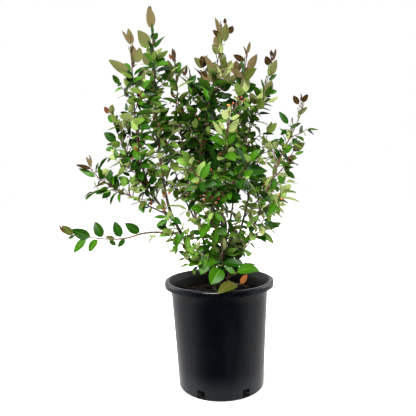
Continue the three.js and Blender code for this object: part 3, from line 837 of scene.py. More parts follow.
def add_leaf(root, heading, turn, spread, length, tint, space, source, folded=0.0):
    """One leaf that leaves the heading by the spread, where a place is free.

    Low in the crown it droops, and its upper face looks up and out to the light. High up it stands close to
    its shoot, with the upper face to the shoot, and some have the pale underside to the front. The shaded
    leaves about the foot are the largest.
    """
    high = min(max((root[2] - LIGHT_FROM) / (CLOSED_ABOVE - LIGHT_FROM), 0.0), 1.0)
    if root[2] < BROAD_BELOW:
        length = length * BROAD_GAIN
    sunward = unit(np.array([root[0], root[1], SUN_HEIGHT]))
    for attempt in range(TRIES):
        outward = side_of(heading, turn + attempt * TRY_TURN)
        aim = unit(heading * math.cos(spread) + outward * math.sin(spread) - UP * LEAF_DROOP * (1 - high))
        if is_free(root + aim * length * LEAF_PROBES, root, space):
            shown = UP * 0.3 + heading * 0.3 - outward * 0.4 + FRONT * source.choice(SHOWN_SIDES)
            wish = (UP * 0.6 + sunward * 0.9) * (1 - high) + shown * high
            roll = source.normal(0, LEAF_ROLL)
            wish = wish * math.cos(roll) + np.cross(aim, wish) * math.sin(roll)
            place_leaf(root, aim, wish, length, tint, source, folded)
            return


def add_twig(start, aim, length, radius, lift):
    """A thin twig that sets out along aim and bends up by lift. Returns its path."""
    middle = start + aim * length * 0.5
    tip = start + unit(aim + UP * lift) * length
    t = np.linspace(0, 1, TWIG_RINGS)[:, None]
    path = start * (1 - t) ** 2 + middle * 2 * t * (1 - t) + tip * t ** 2
    twigs.append((path, radius, radius * TWIG_TAPER))
    return path


print("a leaf gets", TRIES, "tries to find a free place")

# %% [markdown]
# ## Leaf tints
# Old leaves inside the crown are deep green. On the shaded shoots in its middle and at its back many are a
# near-black green, the tint named shade, which is painted shade. Those on the open shoots are brighter, and
# all low leaves get brighter greens, which is painted light. The newest leaves at the shoot tips are buff or
# bronze, because their felt and red sap show before the green does. A few old leaves at the foot have turned
# brown. Each tint is three plain colours, of upper face, underside and midrib, and tints are dealt out by
# shoot and by the place along it, as they lie on the real plant.

# %% Tints and where they go
TINTS = {
    # The near-black shade tint is painted shade, for leaves deep in the crown.
    "shade": ("#051A00", "#1C3406", "#102A03"),
    "deep": ("#0F2C01", "#365414", "#204408"),
    "green": ("#214303", "#627634", "#3A6012"),
    "bright": ("#3E591A", "#78854C", "#5C7834"),
    "lime": ("#586C34", "#828C58", "#7A8A52"),
    "sage": ("#42561E", "#666F42", "#6E7852"),
    "olive": ("#2F360F", "#444526", "#464826"),
    "buff": ("#3A2D16", "#493F28", "#52462F"),
    "bronze": ("#1F1304", "#32261A", "#3A2A18"),
    "brown": ("#30340E", "#5E5426", "#55351A"),
    "rust": ("#381A0A", "#553116", "#5C381E"),
}
TINT_NAMES = list(TINTS)
TIP_TINTS = {
    "left_tall": "buff", "left_upright": "buff", "left_shoulder": "bronze", "left_side": "buff",
    "left_low": "rust", "back_left_tall": "bronze", "back_left_inner": "bronze", "centre_tall": "bronze",
    "centre_inner": "bronze", "centre_front": "buff", "centre_right": "bronze", "right_outer": "bronze",
    "right_back_tall": "buff", "right_mid": "olive",
}
YOUNG_REACH = 26.0
YOUNG_VARIATION = (0.6, 1.2)
OLIVE_REACH = 50.0
OLIVE_VARIATION = (0.3, 1.0)
LOW_CROWN = 335.0
YOUNG_SHARE = 0.85
GREENS = ("shade", "deep", "green", "bright", "lime", "olive")
OPEN_SHARES = (1.6, 3.0, 3.8, 2.2, 1.0, 0.2)
# Painted shade: the shaded shoots lean on the near-black shade tint.
PAINTED_SHADE_SHARES = (7.0, 3.5, 1.4, 0.3, 0.1, 0.0)
RIGHT_SHARES = (2.6, 4.0, 2.6, 1.0, 0.5, 0.1)
# Brighter greens for the newest leaves, and for all low leaves as painted light.
NEW_AND_PAINTED_LIGHT_SHARES = (0.0, 0.8, 3.4, 3.2, 1.4, 0.2)
SHADED_SHOOTS = ("centre_tall", "centre_inner", "centre_right", "back_left_inner", "back_tall",
                 "right_back_tall")
RIGHT_SHOOTS = ("right_outer", "right_mid", "right_back", "right_back_side")
SHOOT_SHARES = dict.fromkeys(SHADED_SHOOTS, PAINTED_SHADE_SHARES) | dict.fromkeys(RIGHT_SHOOTS, RIGHT_SHARES)


def tint_of(shoot, height, to_tip, source):
    """Young tints close to a tall shoot's tip, olive ones behind them, and greens dealt out by chance below.

    The low inner shoots have no young tints: their newest leaves are only a brighter green. All low leaves
    get the brighter greens too, which is painted light. Shaded shoots get more of the dark greens, with the
    near-black shade tint as painted shade, and those on the right somewhat more.
    """
    chance = source.uniform()
    has_young = shoot in TIP_TINTS
    if has_young and to_tip < YOUNG_REACH * source.uniform(*YOUNG_VARIATION) and chance < YOUNG_SHARE:
        return TIP_TINTS[shoot]
    if has_young and shoot != "left_low" and to_tip < OLIVE_REACH * source.uniform(*OLIVE_VARIATION):
        return "olive"
    shares = SHOOT_SHARES.get(shoot, OPEN_SHARES)
    # Below the low crown the brighter greens are painted light.
    if to_tip < YOUNG_REACH or height < LOW_CROWN:
        shares = NEW_AND_PAINTED_LIGHT_SHARES
    return GREENS[deal(1, shares, source)[0]]


print(len(TINTS), "tints, of which", len(GREENS), "are dealt out as greens")

# %% [markdown]
# ## The camera's line of sight
# Some leaves are seen so clearly that chance can't give them, so they are picked in the picture, each by
# the pixel of its root and of its tip. A pixel is a line of sight and not yet a place: the leaf stands where
# that line comes to a depth that is chosen for it. So the camera's place and aim are needed here, before
# the camera itself is made. They fit the ellipses of the pot's rim, wall and foot.

# %% The view
CAMERA_PLACE = np.array([0.0, -0.8, 0.3794])
CAMERA_TURN = -0.0214
CAMERA_DIP = 0.0664
CAMERA_ROLL = -0.0251
FOCAL_LENGTH_PIXELS = 438.3
IMAGE_PIXELS = 416

view_forward = np.array([math.sin(CAMERA_TURN) * math.cos(CAMERA_DIP),
                         math.cos(CAMERA_TURN) * math.cos(CAMERA_DIP), -math.sin(CAMERA_DIP)])
view_level = unit(np.cross(view_forward, UP))
view_upright = np.cross(view_level, view_forward)
view_right = view_level * math.cos(CAMERA_ROLL) + view_upright * math.sin(CAMERA_ROLL)
view_top = view_upright * math.cos(CAMERA_ROLL) - view_level * math.sin(CAMERA_ROLL)


def seen_at(pixel, depth):
    """The place that shows at a pixel: its line of sight, followed from the camera to a depth along Y."""
    across, down = (np.array(pixel) - IMAGE_PIXELS / 2) / FOCAL_LENGTH_PIXELS
    sight = view_forward + view_right * across - view_top * down
    eye = CAMERA_PLACE / MM
    return eye + sight * (depth - eye[1]) / sight[1]


print("the middle of the picture looks at", seen_at((IMAGE_PIXELS / 2, IMAGE_PIXELS / 2), 0).round(), "mm")

# %% [markdown]
# ## Leaves set one by one
# A spray at the foot leans out over the lip: one large leaf that turns brown at its edge, one that has gone
# orange, one arched like a bridge, and broad green ones above them. They point every way, so each is given
# by its root and its tip in millimetres. The leaves above the left side bough and about the foot of the
# stems are picked by pixel, with the depth of the root. A short twig ties each root to its limb.

# %% Spray at the foot
HAND_SEED = 59
STALK_PULL = 0.3
STALK_TAPER = 0.6
FOOT_LEAVES = [
    ("front_stem", 0.34, (5, -45, 226), (-15, -64, 199), (0, -1, 0.3), 0.5, 0.76, "green"),
    ("front_stem", 0.38, (-20, -42, 238), (-31, -56, 215), (-0.2, -1, 0.4), 0.4, 0.7, "green"),
    ("front_stem", 0.36, (4, -42, 233), (45, -52, 229), (0, -0.8, 0.8), 0.3, 0.45, "deep"),
    ("base_front", 0.55, (27, -60, 217), (70, -50, 217), (0, -0.7, 1), 1.2, 0.5, "green"),
    ("base_front", 0.55, (29, -62, 216), (12, -56, 228), (0, -1, 0.5), 0.3, 0.4, "green"),
    ("base_front", 1.0, (32, -74, 202), (-4, -106, 192), (-0.1, -0.8, 1), 1.0, 0.42, "brown"),
    ("base_front", 1.0, (35, -74, 201), (48, -68, 218), (0.4, 1, 0.3), 0.2, 0.4, "rust"),
]


def add_stalk(start, heading, end):
    """A thin twig from a place on a limb, along the limb's heading at first, to a leaf's root."""
    t = np.linspace(0, 1, TWIG_RINGS)[:, None]
    middle = start + heading * np.linalg.norm(end - start) * STALK_PULL
    path = start * (1 - t) ** 2 + middle * 2 * t * (1 - t) + end * t ** 2
    twigs.append((path, TWIG_RADIUS, TWIG_RADIUS * STALK_TAPER))


def hand_set_leaf(limb, share, root, tip, wish, bend, width, tint, source):
    """A leaf from root to tip: it sets out half its bend above the chord, and is as long as that arc."""
    start, heading = spot_on(limbs[limb][0], share)
    root = np.array(root, float)
    chord = np.array(tip, float) - root
    along = unit(chord)
    wish = np.array(wish, float)
    upward = unit(wish - along * (along @ wish))
    aim = along * math.cos(bend / 2) + upward * math.sin(bend / 2)
    length = np.linalg.norm(chord) * (bend / 2) / math.sin(bend / 2)
    place_leaf(root, aim, wish, length, tint, source, bend=bend, width=width, twist=0.0)
    add_stalk(start, heading, root)


source = np.random.default_rng(HAND_SEED)
for row in FOOT_LEAVES:
    hand_set_leaf(*row, source)
print(len(leaves), "leaves set by hand at the foot")

# %% Leaves above the left side bough
TIP_NEARER = 4.0
STALK_DROP = 0.08
LOWEST_STALK = 0.05
SIDE_LEAVES = [
    ("left_side_bough", (130, 184.5), (118, 177), -46, (0, -1, 0.5), 0.4, 8.5, "green"),
    ("left_side_bough", (136.5, 186), (130.5, 176.5), -52, (0, -1, 0.3), 0.4, 7, "bright"),
    ("left_side_bough", (130.5, 176), (122, 172.5), -44, (0, -1, 0.6), 0.3, 4, "deep"),
    ("left_side_bough", (141, 193.5), (128.5, 187.5), -58, (0, 1, 0.4), 0.4, 5, "sage"),
    ("left_side_bough", (148, 187), (140, 176.5), -40, (0, -1, 0.5), 0.4, 7.5, "green"),
    ("left_side_bough", (116.5, 188), (115, 175.5), -50, (0, -1, 0.2), 0.3, 7, "green"),
    ("left_side_bough", (123.5, 187.5), (125, 176), -56, (0, -1, 0.4), 0.3, 7, "bright"),
    ("left_side_bough", (139, 182), (147, 175.5), -42, (0, -1, 0.4), 0.3, 5, "deep"),
    ("left_shoulder", (120.5, 156.5), (110, 149), -70, (0, 1, 0.3), 0.2, 3.5, "lime"),
    ("left_shoulder", (118.5, 157.5), (109, 157), -66, (0, 1, 0.3), 0.2, 6.5, "lime"),
    ("left_shoulder", (131, 170), (136.5, 161), -58, (0, -1, 0.3), 0.3, 6, "deep"),
    ("left_shoulder", (135.5, 174.5), (141.5, 165), -52, (0, -1, 0.3), 0.3, 6, "deep"),
    ("left_shoulder", (126, 171), (119.5, 160.5), -60, (0, -1, 0.3), 0.3, 4.5, "olive"),
]


def set_picked_leaf(limb, root_pixel, tip_pixel, depth, wish, bend, width, tint, source):
    """A leaf seen from one pixel to another and so many pixels wide, its tip a little nearer than its root.

    Its stalk leaves the limb a little lower than the place on it that is nearest to the root.
    """
    root = seen_at(root_pixel, depth)
    tip = seen_at(tip_pixel, depth - TIP_NEARER)
    nearest = np.argmin(np.linalg.norm(limbs[limb][0] - root, axis=1)) / CURVE_STEPS
    share = max(nearest - STALK_DROP, LOWEST_STALK)
    slimness = width / math.dist(root_pixel, tip_pixel)
    hand_set_leaf(limb, share, root, tip, wish, bend, slimness, tint, source)


for row in SIDE_LEAVES:
    set_picked_leaf(*row, source)
print(len(leaves), "with those on the left side")

# %% Leaves about the foot of the stems
LEG_LEAVES = [
    ("left_stem", (178, 231.5), (177.5, 246), -44, (0.2, -1, 0.4), 0.4, 7, "green"),
    ("left_stem", (185.5, 233.5), (189, 249), -30, (-0.3, -1, 0.6), 0.4, 7.5, "bright"),
    ("left_stem", (174, 238.5), (165, 243), -40, (0, -0.8, 0.8), 0.3, 4.5, "lime"),
    ("left_stem", (169.5, 233.5), (160.5, 236), -36, (0, -0.8, 0.8), 0.3, 3.5, "green"),
    ("left_back_stem", (202.5, 233.5), (189.5, 232), 10, (0, -1, 0.6), 0.4, 5.5, "deep"),
    ("left_back_stem", (203, 237.5), (193, 239.5), 4, (0, -0.7, 1), 0.5, 4, "deep"),
    ("left_back_stem", (209.5, 252.5), (199.5, 245.5), -12, (0.2, -1, 0.5), 0.3, 7, "deep"),
    ("left_stem", (196.5, 250), (200, 240.5), -26, (0, 1, 0.2), 0.3, 3.5, "sage"),
    ("left_back_stem", (214, 248), (202.5, 240.5), -4, (0, -0.8, 1), 0.8, 5, "green"),
    ("centre_stem", (222.5, 252.5), (224, 237.5), -20, (0.3, 1, 0.2), 0.2, 6, "lime"),
    ("centre_stem", (220.5, 249.5), (211.5, 251.5), -26, (0, -0.8, 0.8), 0.4, 6.5, "lime"),
    ("right_stem", (225, 254.5), (237, 249), -24, (0, -1, 0.7), 0.4, 7, "bright"),
    ("left_stem", (200.5, 255), (208, 262), -34, (0, -1, 0.3), 0.3, 6, "deep"),
    ("front_stem", (218, 259), (209, 256.5), -36, (0, -1, 0.3), 0.3, 6, "deep"),
    ("left_stem", (199.5, 253.5), (187.5, 255), -40, (0, -1, 0.7), 0.4, 6.5, "bright"),
    ("left_stem", (200, 260), (188.5, 258.5), -34, (0, -1, 0.2), 0.3, 4.5, "deep"),
    ("front_stem", (201.5, 262.5), (193.5, 265), -38, (0, -0.8, 0.8), 0.3, 4.5, "green"),
    ("left_stem", (180.5, 252), (185, 256.5), -36, (0, -1, 0.2), 0.3, 2.5, "deep"),
    ("left_stem", (176.5, 250.5), (168.5, 252), -30, (0, -0.8, 0.8), 0.3, 3.5, "lime"),
    ("left_stem", (185.5, 258), (177.5, 261), -26, (0, -0.6, 1), 0.3, 3, "sage"),
    ("left_stem", (189.5, 263.5), (180.5, 267.5), -24, (0, -0.6, 1), 0.3, 3.5, "sage"),
    ("left_back_stem", (212.5, 235.5), (213.5, 229.5), 8, (0.5, -1, 0.1), 0.3, 2.5, "deep"),
    ("centre_stem", (222.5, 235.5), (212.5, 238), -10, (0, -0.6, 1), 0.3, 3, "olive"),
    ("right_stem", (240, 242), (249, 241.5), -20, (0, 1, 0.3), 0.3, 3.5, "sage"),
    ("right_stem", (238.5, 230.5), (232, 233.5), -16, (0, -1, 0.5), 0.3, 3.5, "sage"),
    ("right_stem", (235, 242.5), (236.5, 236), -16, (0, -1, 0.5), 0.3, 4.5, "lime"),
    ("right_stem", (236.5, 245.5), (242, 247.5), -20, (0, -1, 0.3), 0.3, 3, "olive"),
    ("left_stem", (202, 257.5), (189, 254), -30, (0.2, -1, 0.5), 0.4, 7, "green"),
    ("left_stem", (200, 251), (191.5, 244), -22, (0, -1, 0.7), 0.3, 5.5, "bright"),
    ("left_stem", (189.5, 250), (182, 244.5), -26, (-0.2, -1, 0.5), 0.3, 5.5, "green"),
    ("left_stem", (195, 263), (187, 258), -28, (0, -1, 0.2), 0.3, 4.5, "deep"),
    ("front_stem", (208.5, 258), (200, 265), -40, (0, -1, 0.4), 0.4, 6, "green"),
    ("front_stem", (216, 258), (208, 251), -16, (0.2, -1, 0.3), 0.3, 6, "deep"),
    ("centre_stem", (221.5, 253), (216, 244), -14, (0.2, -1, 0.5), 0.3, 5.5, "green"),
    ("front_stem", (220.5, 258), (214, 265), -42, (0, -1, 0.3), 0.3, 6, "deep"),
    ("left_back_stem", (203, 245), (208, 238.5), 0, (0, -1, 0.6), 0.3, 4, "green"),
    ("left_stem", (185, 254), (178.5, 251), -30, (0, -1, 0.3), 0.3, 4, "deep"),
    ("left_stem", (167, 217.5), (154, 217.5), -42, (0, -0.8, 0.8), 0.3, 5, "green"),
    ("left_stem", (167.5, 219.5), (156, 226.5), -42, (0, -1, 0.4), 0.3, 5, "green"),
    ("left_stem", (165, 214), (168.5, 221), -42, (0, -1, 0.6), 0.3, 4, "bright"),
    ("left_stem", (169, 228.5), (156.5, 227), -36, (0, -1, 0.3), 0.3, 4.5, "deep"),
    ("left_stem", (177.5, 222.5), (168.5, 226.5), -34, (0, -0.8, 0.8), 0.3, 4, "green"),
    ("left_stem", (171.5, 214.5), (174, 221), -40, (0, -1, 0.4), 0.3, 3, "green"),
    ("right_low", (262, 223), (279.5, 227), -46, (0, -1, 0.5), 0.4, 7, "deep"),
    ("right_low", (261.5, 225.5), (262.5, 235.5), -48, (0, 1, 0.3), 0.3, 7, "sage"),
    ("front_stem", (224, 265), (234.5, 274), -48, (0, -1, 0.5), 0.4, 5, "green"),
    ("front_stem", (215, 262), (226, 270), -36, (0, -1, 0.4), 0.3, 6, "deep"),
    ("right_stem", (228, 262), (239.5, 268.5), -30, (0, -1, 0.5), 0.3, 5.5, "green"),
]
for row in LEG_LEAVES:
    set_picked_leaf(*row, source)
print(len(leaves), "with those about the stems")

# %% [markdown]
# ## The low spray
# The long bough low on the left ends in a flat spray. Its leaves stand in two ranks, one above the twig and
# one below, and all of them turn their upper faces to the front, because that is where their light came
# from.

# %% Flat spray
FLAT_SEED = 61
FLAT_TIP = 24.0
FOLDED_TIP = 0.7
SHOOT_STRIDE = 4
FLAT_LEAVES = [
    (-10, 1, 52, 33, "deep"), (18, -1, 42, 20, "deep"), (25, 1, 75, 32, "deep"), (34, 1, 15, 18, "olive"),
    (46, -1, 140, 17, "deep"), (56, 1, 61, 33, "deep"), (62, -1, 50, 33, "green"), (73, 1, 14, 40, "deep"),
    (82, -1, 55, 35, "green"), (104, 1, 32, 26, "olive"), (102, -1, 30, 14, "deep"), (116, 1, 42, 20, "rust"),
]


def grow_flat(shoot, source):
    """Leaves at distances along a shoot and its last twig, above or below it, spread by so many degrees."""
    curve, foot_radius, tip_radius = limbs[shoot]
    twigs.append((curve[::SHOOT_STRIDE], foot_radius, tip_radius))
    length = length_of(curve)
    end, heading = spot_on(curve, 1)
    add_twig(end, heading, FLAT_TIP, tip_radius, 0.0)
    for distance, rank, spread, size, tint in FLAT_LEAVES:
        root, heading = spot_on(curve, distance / length)
        root = root + heading * (max(distance - length, 0) + min(distance, 0))
        outward = unit(UP * rank - heading * (heading @ UP) * rank + FRONT * source.normal(0.1, 0.15))
        aim = heading * math.cos(math.radians(spread)) + outward * math.sin(math.radians(spread))
        wish = FRONT + UP * 0.3 + source.normal(0, 0.12, 3)
        place_leaf(root, aim, wish, size, tint, source, FOLDED_TIP if tint == "rust" else 0.0)


grow_flat("left_low", np.random.default_rng(FLAT_SEED))
print(len(leaves), "leaves with the flat spray")

# %% [markdown]
# ## Tips against the sky
# The topmost leaves are seen one by one against the white, and they make the outline that one knows the
# plant by. They stand close to their shoots, and most of them show the pale underside. Each is picked by
# the pixels of its root and its tip and by its width in pixels, with its tint, and with 1 where the upper
# face looks to the front or -1 where the underside does. Its shoot gives the depth. The leaves further down
# the tall shoot in the centre are picked the same way. Seen from the side such a tip would be bare, so a
# few more leaves stand before and behind each shoot, edge on to the front.

# %% Leaves of the tips
SHOWN_TIPS = {
    "left_tall": [
        ((151.5, 31), (150, 7), 11, "buff", -1), ((150.5, 15), (150, 6), 3.5, "bronze", -1),
        ((150, 49.5), (138, 30), 13, "olive", -1), ((152, 41.5), (157, 31), 9, "deep", 1),
        ((151.5, 66.5), (143, 54), 10, "olive", -1), ((152.5, 65), (165.5, 57), 7.5, "deep", 1),
        ((153.5, 57), (163.5, 48.5), 4, "sage", -1),
    ],
    "left_upright": [
        ((132.5, 45.5), (128, 28.5), 7, "buff", -1), ((132, 46), (122.5, 31), 4, "buff", -1),
        ((135, 64.5), (132.5, 44.5), 8.5, "buff", -1), ((136.5, 64.5), (140.5, 47.5), 8.5, "olive", -1),
        ((132.5, 76), (109.5, 60), 10, "olive", -1), ((137.5, 86), (144.5, 67.5), 10, "olive", -1),
    ],
    "back_left_tall": [
        ((174, 63.5), (173, 48.5), 4.5, "bronze", -1), ((172, 59.5), (169, 54), 3, "rust", -1),
        ((173, 79.5), (167, 60.5), 9.5, "olive", -1), ((174, 72), (177.5, 64.5), 2.5, "olive", -1),
    ],
    "back_left_inner": [
        ((185, 77), (187, 65.5), 3, "bronze", -1), ((184.5, 76.5), (182, 69), 2, "bronze", -1),
        ((187.5, 88), (196, 73.5), 7, "deep", 1),
    ],
    "centre_tall": [
        ((222, 40), (216, 18), 6, "buff", -1), ((225.5, 24.5), (224.5, 18), 3.5, "bronze", 1),
        ((228.5, 34.5), (233, 26), 6.5, "bronze", 1), ((224.5, 44), (225.5, 24), 9, "olive", -1),
        ((220.5, 37.5), (212.5, 30), 5, "bronze", 1), ((219, 47), (215, 36.5), 8, "buff", -1),
        ((220, 54.5), (212.5, 43.5), 8.5, "olive", -1), ((225, 65), (219.5, 49.5), 8, "olive", 1),
    ],
    "centre_front": [
        ((247.5, 54.5), (249.5, 42), 3.5, "buff", -1), ((247.5, 55), (245.5, 49.5), 2, "bronze", -1),
        ((245.5, 62), (233, 54.5), 5.5, "bronze", 1), ((247.5, 72), (256.5, 53.5), 9, "buff", -1),
        ((243.5, 78), (230, 68.5), 6, "buff", -1), ((240.5, 95.5), (248.5, 75), 11.5, "sage", -1),
    ],
    "centre_right": [
        ((272, 62), (276.5, 49), 3.5, "bronze", -1), ((273, 57), (270.5, 50), 2, "bronze", 1),
        ((270, 66), (265, 56), 7, "bronze", 1), ((268, 78.5), (276.5, 60.5), 8.5, "olive", -1),
        ((268, 81), (276.5, 74), 3.5, "deep", 1), ((266, 95), (271.5, 80.5), 9, "olive", -1),
        ((263, 104.5), (261.5, 86), 9, "sage", -1), ((257.5, 106), (250, 92.5), 7.5, "olive", -1),
        ((267, 102.5), (279, 96.5), 3.5, "sage", -1),
    ],
    "right_outer": [
        ((301.5, 103), (309.5, 92.5), 5, "bronze", 1), ((301, 102), (301, 95), 2, "bronze", -1),
        ((299, 105.5), (293.5, 95), 5.5, "bronze", 1), ((297, 115.5), (308, 106.5), 4.5, "olive", 1),
        ((289, 125), (279, 111), 6, "deep", 1), ((289.5, 129), (301.5, 122), 4.5, "deep", 1),
        ((289, 141.5), (290, 129), 7, "sage", -1), ((287, 129), (280.5, 135), 4.5, "deep", 1),
        ((282, 147.5), (281.5, 136), 5, "deep", 1), ((290, 144), (301, 140.5), 3, "deep", 1),
        ((279, 160.5), (276, 149), 7, "deep", 1), ((285, 150.5), (293.5, 146), 5, "olive", -1),
        ((294, 155), (304, 151), 3.5, "green", 1),
    ],
    "front_tall": [
        ((228, 133.5), (239, 119), 7, "sage", -1), ((223, 136.5), (212.5, 120), 4.5, "sage", -1),
        ((228, 120.5), (223, 109.5), 8, "sage", -1), ((230, 120), (239.5, 114.5), 3.5, "sage", -1),
        ((229, 117.5), (231.5, 103), 3.5, "buff", -1), ((228, 120.5), (229.5, 105), 4, "sage", -1),
        ((225, 129.5), (218.5, 120.5), 3.5, "sage", -1), ((225, 138), (219.5, 128), 6.5, "green", 1),
        ((224, 144), (236.5, 133), 9, "green", 1), ((221.5, 142), (210.5, 138.5), 5.5, "deep", 1),
    ],
    "left_shoulder": [
        ((109, 114), (103.5, 105.5), 4.5, "rust", 1), ((111, 115.5), (112.5, 104.5), 6, "olive", -1),
        ((115.5, 122.5), (107, 116), 6.5, "green", 1), ((118.5, 133.5), (119, 119), 9.5, "olive", -1),
        ((117, 142), (104.5, 132), 9, "deep", 1), ((124.5, 129), (135.5, 123.5), 4, "olive", -1),
    ],
    "left_side": [
        ((91.5, 169), (87, 156.5), 5.5, "buff", -1), ((92.5, 169.5), (76, 164.5), 4, "bronze", 1),
        ((97, 177.5), (78, 168), 5.5, "green", 1), ((98, 179), (109, 168.5), 9.5, "sage", -1),
        ((109.5, 187), (93, 194), 6, "green", 1), ((111, 189.5), (103, 199), 7, "deep", 1),
        ((103, 180), (101.5, 169.5), 5.5, "deep", 1), ((108.5, 183.5), (110.5, 169), 6.5, "deep", 1),
        ((112, 186), (118, 173.5), 7, "green", 1), ((117.5, 190), (124.5, 194.5), 4.5, "olive", 1),
    ],
}
# Many of these take the near-black shade tint: painted shade in the crown's middle.
CENTRE_LEAVES = [
    ((221, 82), (206, 64), 8, "olive", -1), ((223.5, 79.5), (215, 62.5), 6.5, "olive", -1),
    ((218, 88.5), (232.5, 83), 10, "shade", 1), ((212, 91), (192.5, 80.5), 9, "shade", 1),
    ((215.5, 103), (200, 96), 9, "shade", 1), ((214.5, 96.5), (229, 94), 8, "deep", 1),
    ((214.5, 106.5), (201, 107.5), 8.5, "shade", 1), ((217.5, 107.5), (232, 103), 9, "shade", 1),
    ((223.5, 71.5), (232.5, 60.5), 6.5, "olive", -1), ((218, 116.5), (203.5, 112.5), 8, "shade", 1),
    ((228, 81.5), (239, 75), 6.5, "olive", -1), ((211, 83.5), (201, 70.5), 6.5, "buff", -1),
    ((214, 70.5), (204.5, 55), 5.5, "buff", -1), ((220, 99), (232.5, 94), 7.5, "shade", 1),
    ((209.5, 112), (197.5, 117), 7.5, "shade", 1), ((221, 65), (220.5, 56), 2.5, "buff", -1),
    ((225.5, 69), (224, 57.5), 4.5, "olive", 1), ((222, 80), (226, 65), 6, "olive", -1),
    ((221, 79.5), (217, 66), 5, "sage", -1), ((226, 76.5), (234, 62.5), 5, "sage", -1),
    ((217, 80), (205, 69), 7, "sage", -1), ((218.5, 80.5), (212.5, 67), 4, "lime", -1),
    ((208, 77), (199.5, 69), 2.5, "bronze", 1), ((224.5, 85), (229.5, 73.5), 6, "olive", -1),
    ((221.5, 54.5), (220.5, 42.5), 5, "sage", -1), ((223.5, 76), (222.5, 62), 7.5, "olive", -1),
    ((219.5, 75), (213.5, 61.5), 5.5, "olive", -1), ((216, 84), (207.5, 75), 6, "olive", -1),
    ((221.5, 47), (218, 33.5), 5.5, "olive", -1), ((225, 88), (219, 77.5), 7, "deep", 1),
]
tip_picks = sum(len(picks) for picks in SHOWN_TIPS.values())
print(tip_picks, "leaves picked at the tips and", len(CENTRE_LEAVES), "below them")

# %% Picks measured on their shoots
TIP_ROOM = 60
SIGHT_ROUNDS = 3


def measure_pick(shoot, root_pixel, tip_pixel, width, tint, side):
    """A picked leaf in its shoot's own measures: how far below its end and aside, lean, length and slimness.

    The line of sight is followed to the depth that the shoot has at that height, which takes a few rounds.
    """
    curve = limbs[shoot][0]
    end, heading = spot_on(curve, 1)
    beyond = np.arange(1, TIP_ROOM + 1)
    line = np.vstack([curve, end + heading * beyond[:, None]])
    below = np.append(np.linspace(length_of(curve), 0, len(curve)), -beyond)
    depth = end[1]
    for _ in range(SIGHT_ROUNDS):
        root = seen_at(root_pixel, depth)
        place = np.argmin(np.abs(line[:, 2] - root[2]))
        depth = line[place, 1]
    chord = seen_at(tip_pixel, depth) - root
    slimness = width / math.dist(root_pixel, tip_pixel)
    lean = math.atan2(chord[0], chord[2])
    return below[place], root[0] - line[place, 0], lean, np.linalg.norm(chord), slimness, tint, side


shown_tips = {shoot: [measure_pick(shoot, *pick) for pick in picks] for shoot, picks in SHOWN_TIPS.items()}
centre_leaves = [measure_pick("centre_tall", *pick) for pick in CENTRE_LEAVES]
picked_sizes = [row[3] for rows in shown_tips.values() for row in rows]
print("picked tip leaves are", round(min(picked_sizes)), "to", round(max(picked_sizes)), "mm long")

# %% Tips set on their shoots
TIP_SEED = 73
CENTRE_SEED = 79
RIGHT = np.array([1.0, 0.0, 0.0])
FACE_TURNS = np.array([0.35, 0.1, 0.15])
SHOWN_BEND = 0.25
SHORTEST_STALK = 0.5
SIDE_ON_BEND = 0.3
SIDE_ON_LEAVES = (
    (-4, 0.3, 0.9, "sage"), (9, 0.5, 0.85, "olive"), (22, -0.55, 0.9, "green"), (36, 0.65, 0.95, "olive"),
    (52, -0.7, 1.0, "deep"),
)


def set_beside(shoot, rows, source):
    """Leaves that lean to the left or right of their shoot, on stalks as long as they stand beside it."""
    curve = limbs[shoot][0]
    length = length_of(curve)
    for below, aside, lean, size, slimness, tint, side in rows:
        stem, heading = spot_on(curve, 1 - below / length)
        root = stem + heading * max(-below, 0) + RIGHT * aside
        aim = unit(UP * math.cos(lean) + RIGHT * math.sin(lean) + FRONT * source.normal(0, 0.12))
        wish = FRONT * side + UP * 0.15 + source.normal(0, 1, 3) * FACE_TURNS
        place_leaf(root, aim, wish, size, tint, source, bend=SHOWN_BEND, width=slimness)
        if abs(aside) > SHORTEST_STALK:
            add_stalk(*spot_on(curve, 1 - (below + abs(aside)) / length), root)


def grow_shown_tip(shoot, source):
    """The tip leaves of one shoot, the topmost on a last twig above its end, and its side-on leaves.

    A side-on leaf is given by how far it is below the end, its lean forwards or back, its share of a tip
    leaf's length and its tint. The first takes the shoot's own young tint, where it has one.
    """
    curve, _, tip_radius = limbs[shoot]
    length = length_of(curve)
    end, heading = spot_on(curve, 1)
    highest = max(-row[0] for row in shown_tips[shoot])
    if highest > 0:
        add_twig(end, heading, highest, tip_radius, 0.0)
    for number, (below, lean, share, tint) in enumerate(SIDE_ON_LEAVES):
        stem, heading = spot_on(curve, 1 - below / length)
        root = stem + heading * max(-below, 0)
        aim = unit(UP * math.cos(lean) - FRONT * math.sin(lean) + RIGHT * source.normal(0, 0.08))
        wish = RIGHT * (-1) ** number + source.normal(0, 0.2, 3)
        if number == 0:
            tint = TIP_TINTS.get(shoot, tint)
        place_leaf(root, aim, wish, TIP_LEAF_REACH * share, tint, source, bend=SIDE_ON_BEND)
    set_beside(shoot, shown_tips[shoot], source)


for number, shoot in enumerate(shown_tips):
    grow_shown_tip(shoot, np.random.default_rng([TIP_SEED, number]))
set_beside("centre_tall", centre_leaves, np.random.default_rng(CENTRE_SEED))
print(len(leaves), "leaves with the tips")

# %% [markdown]
# ## The rest of the crown
# The other leaves on the shoots grow by the rule, shoot by shoot. Shoots that stand open have their nodes
# further apart, and where leaves are picked at a tip, growth by chance stops among the lower ones.

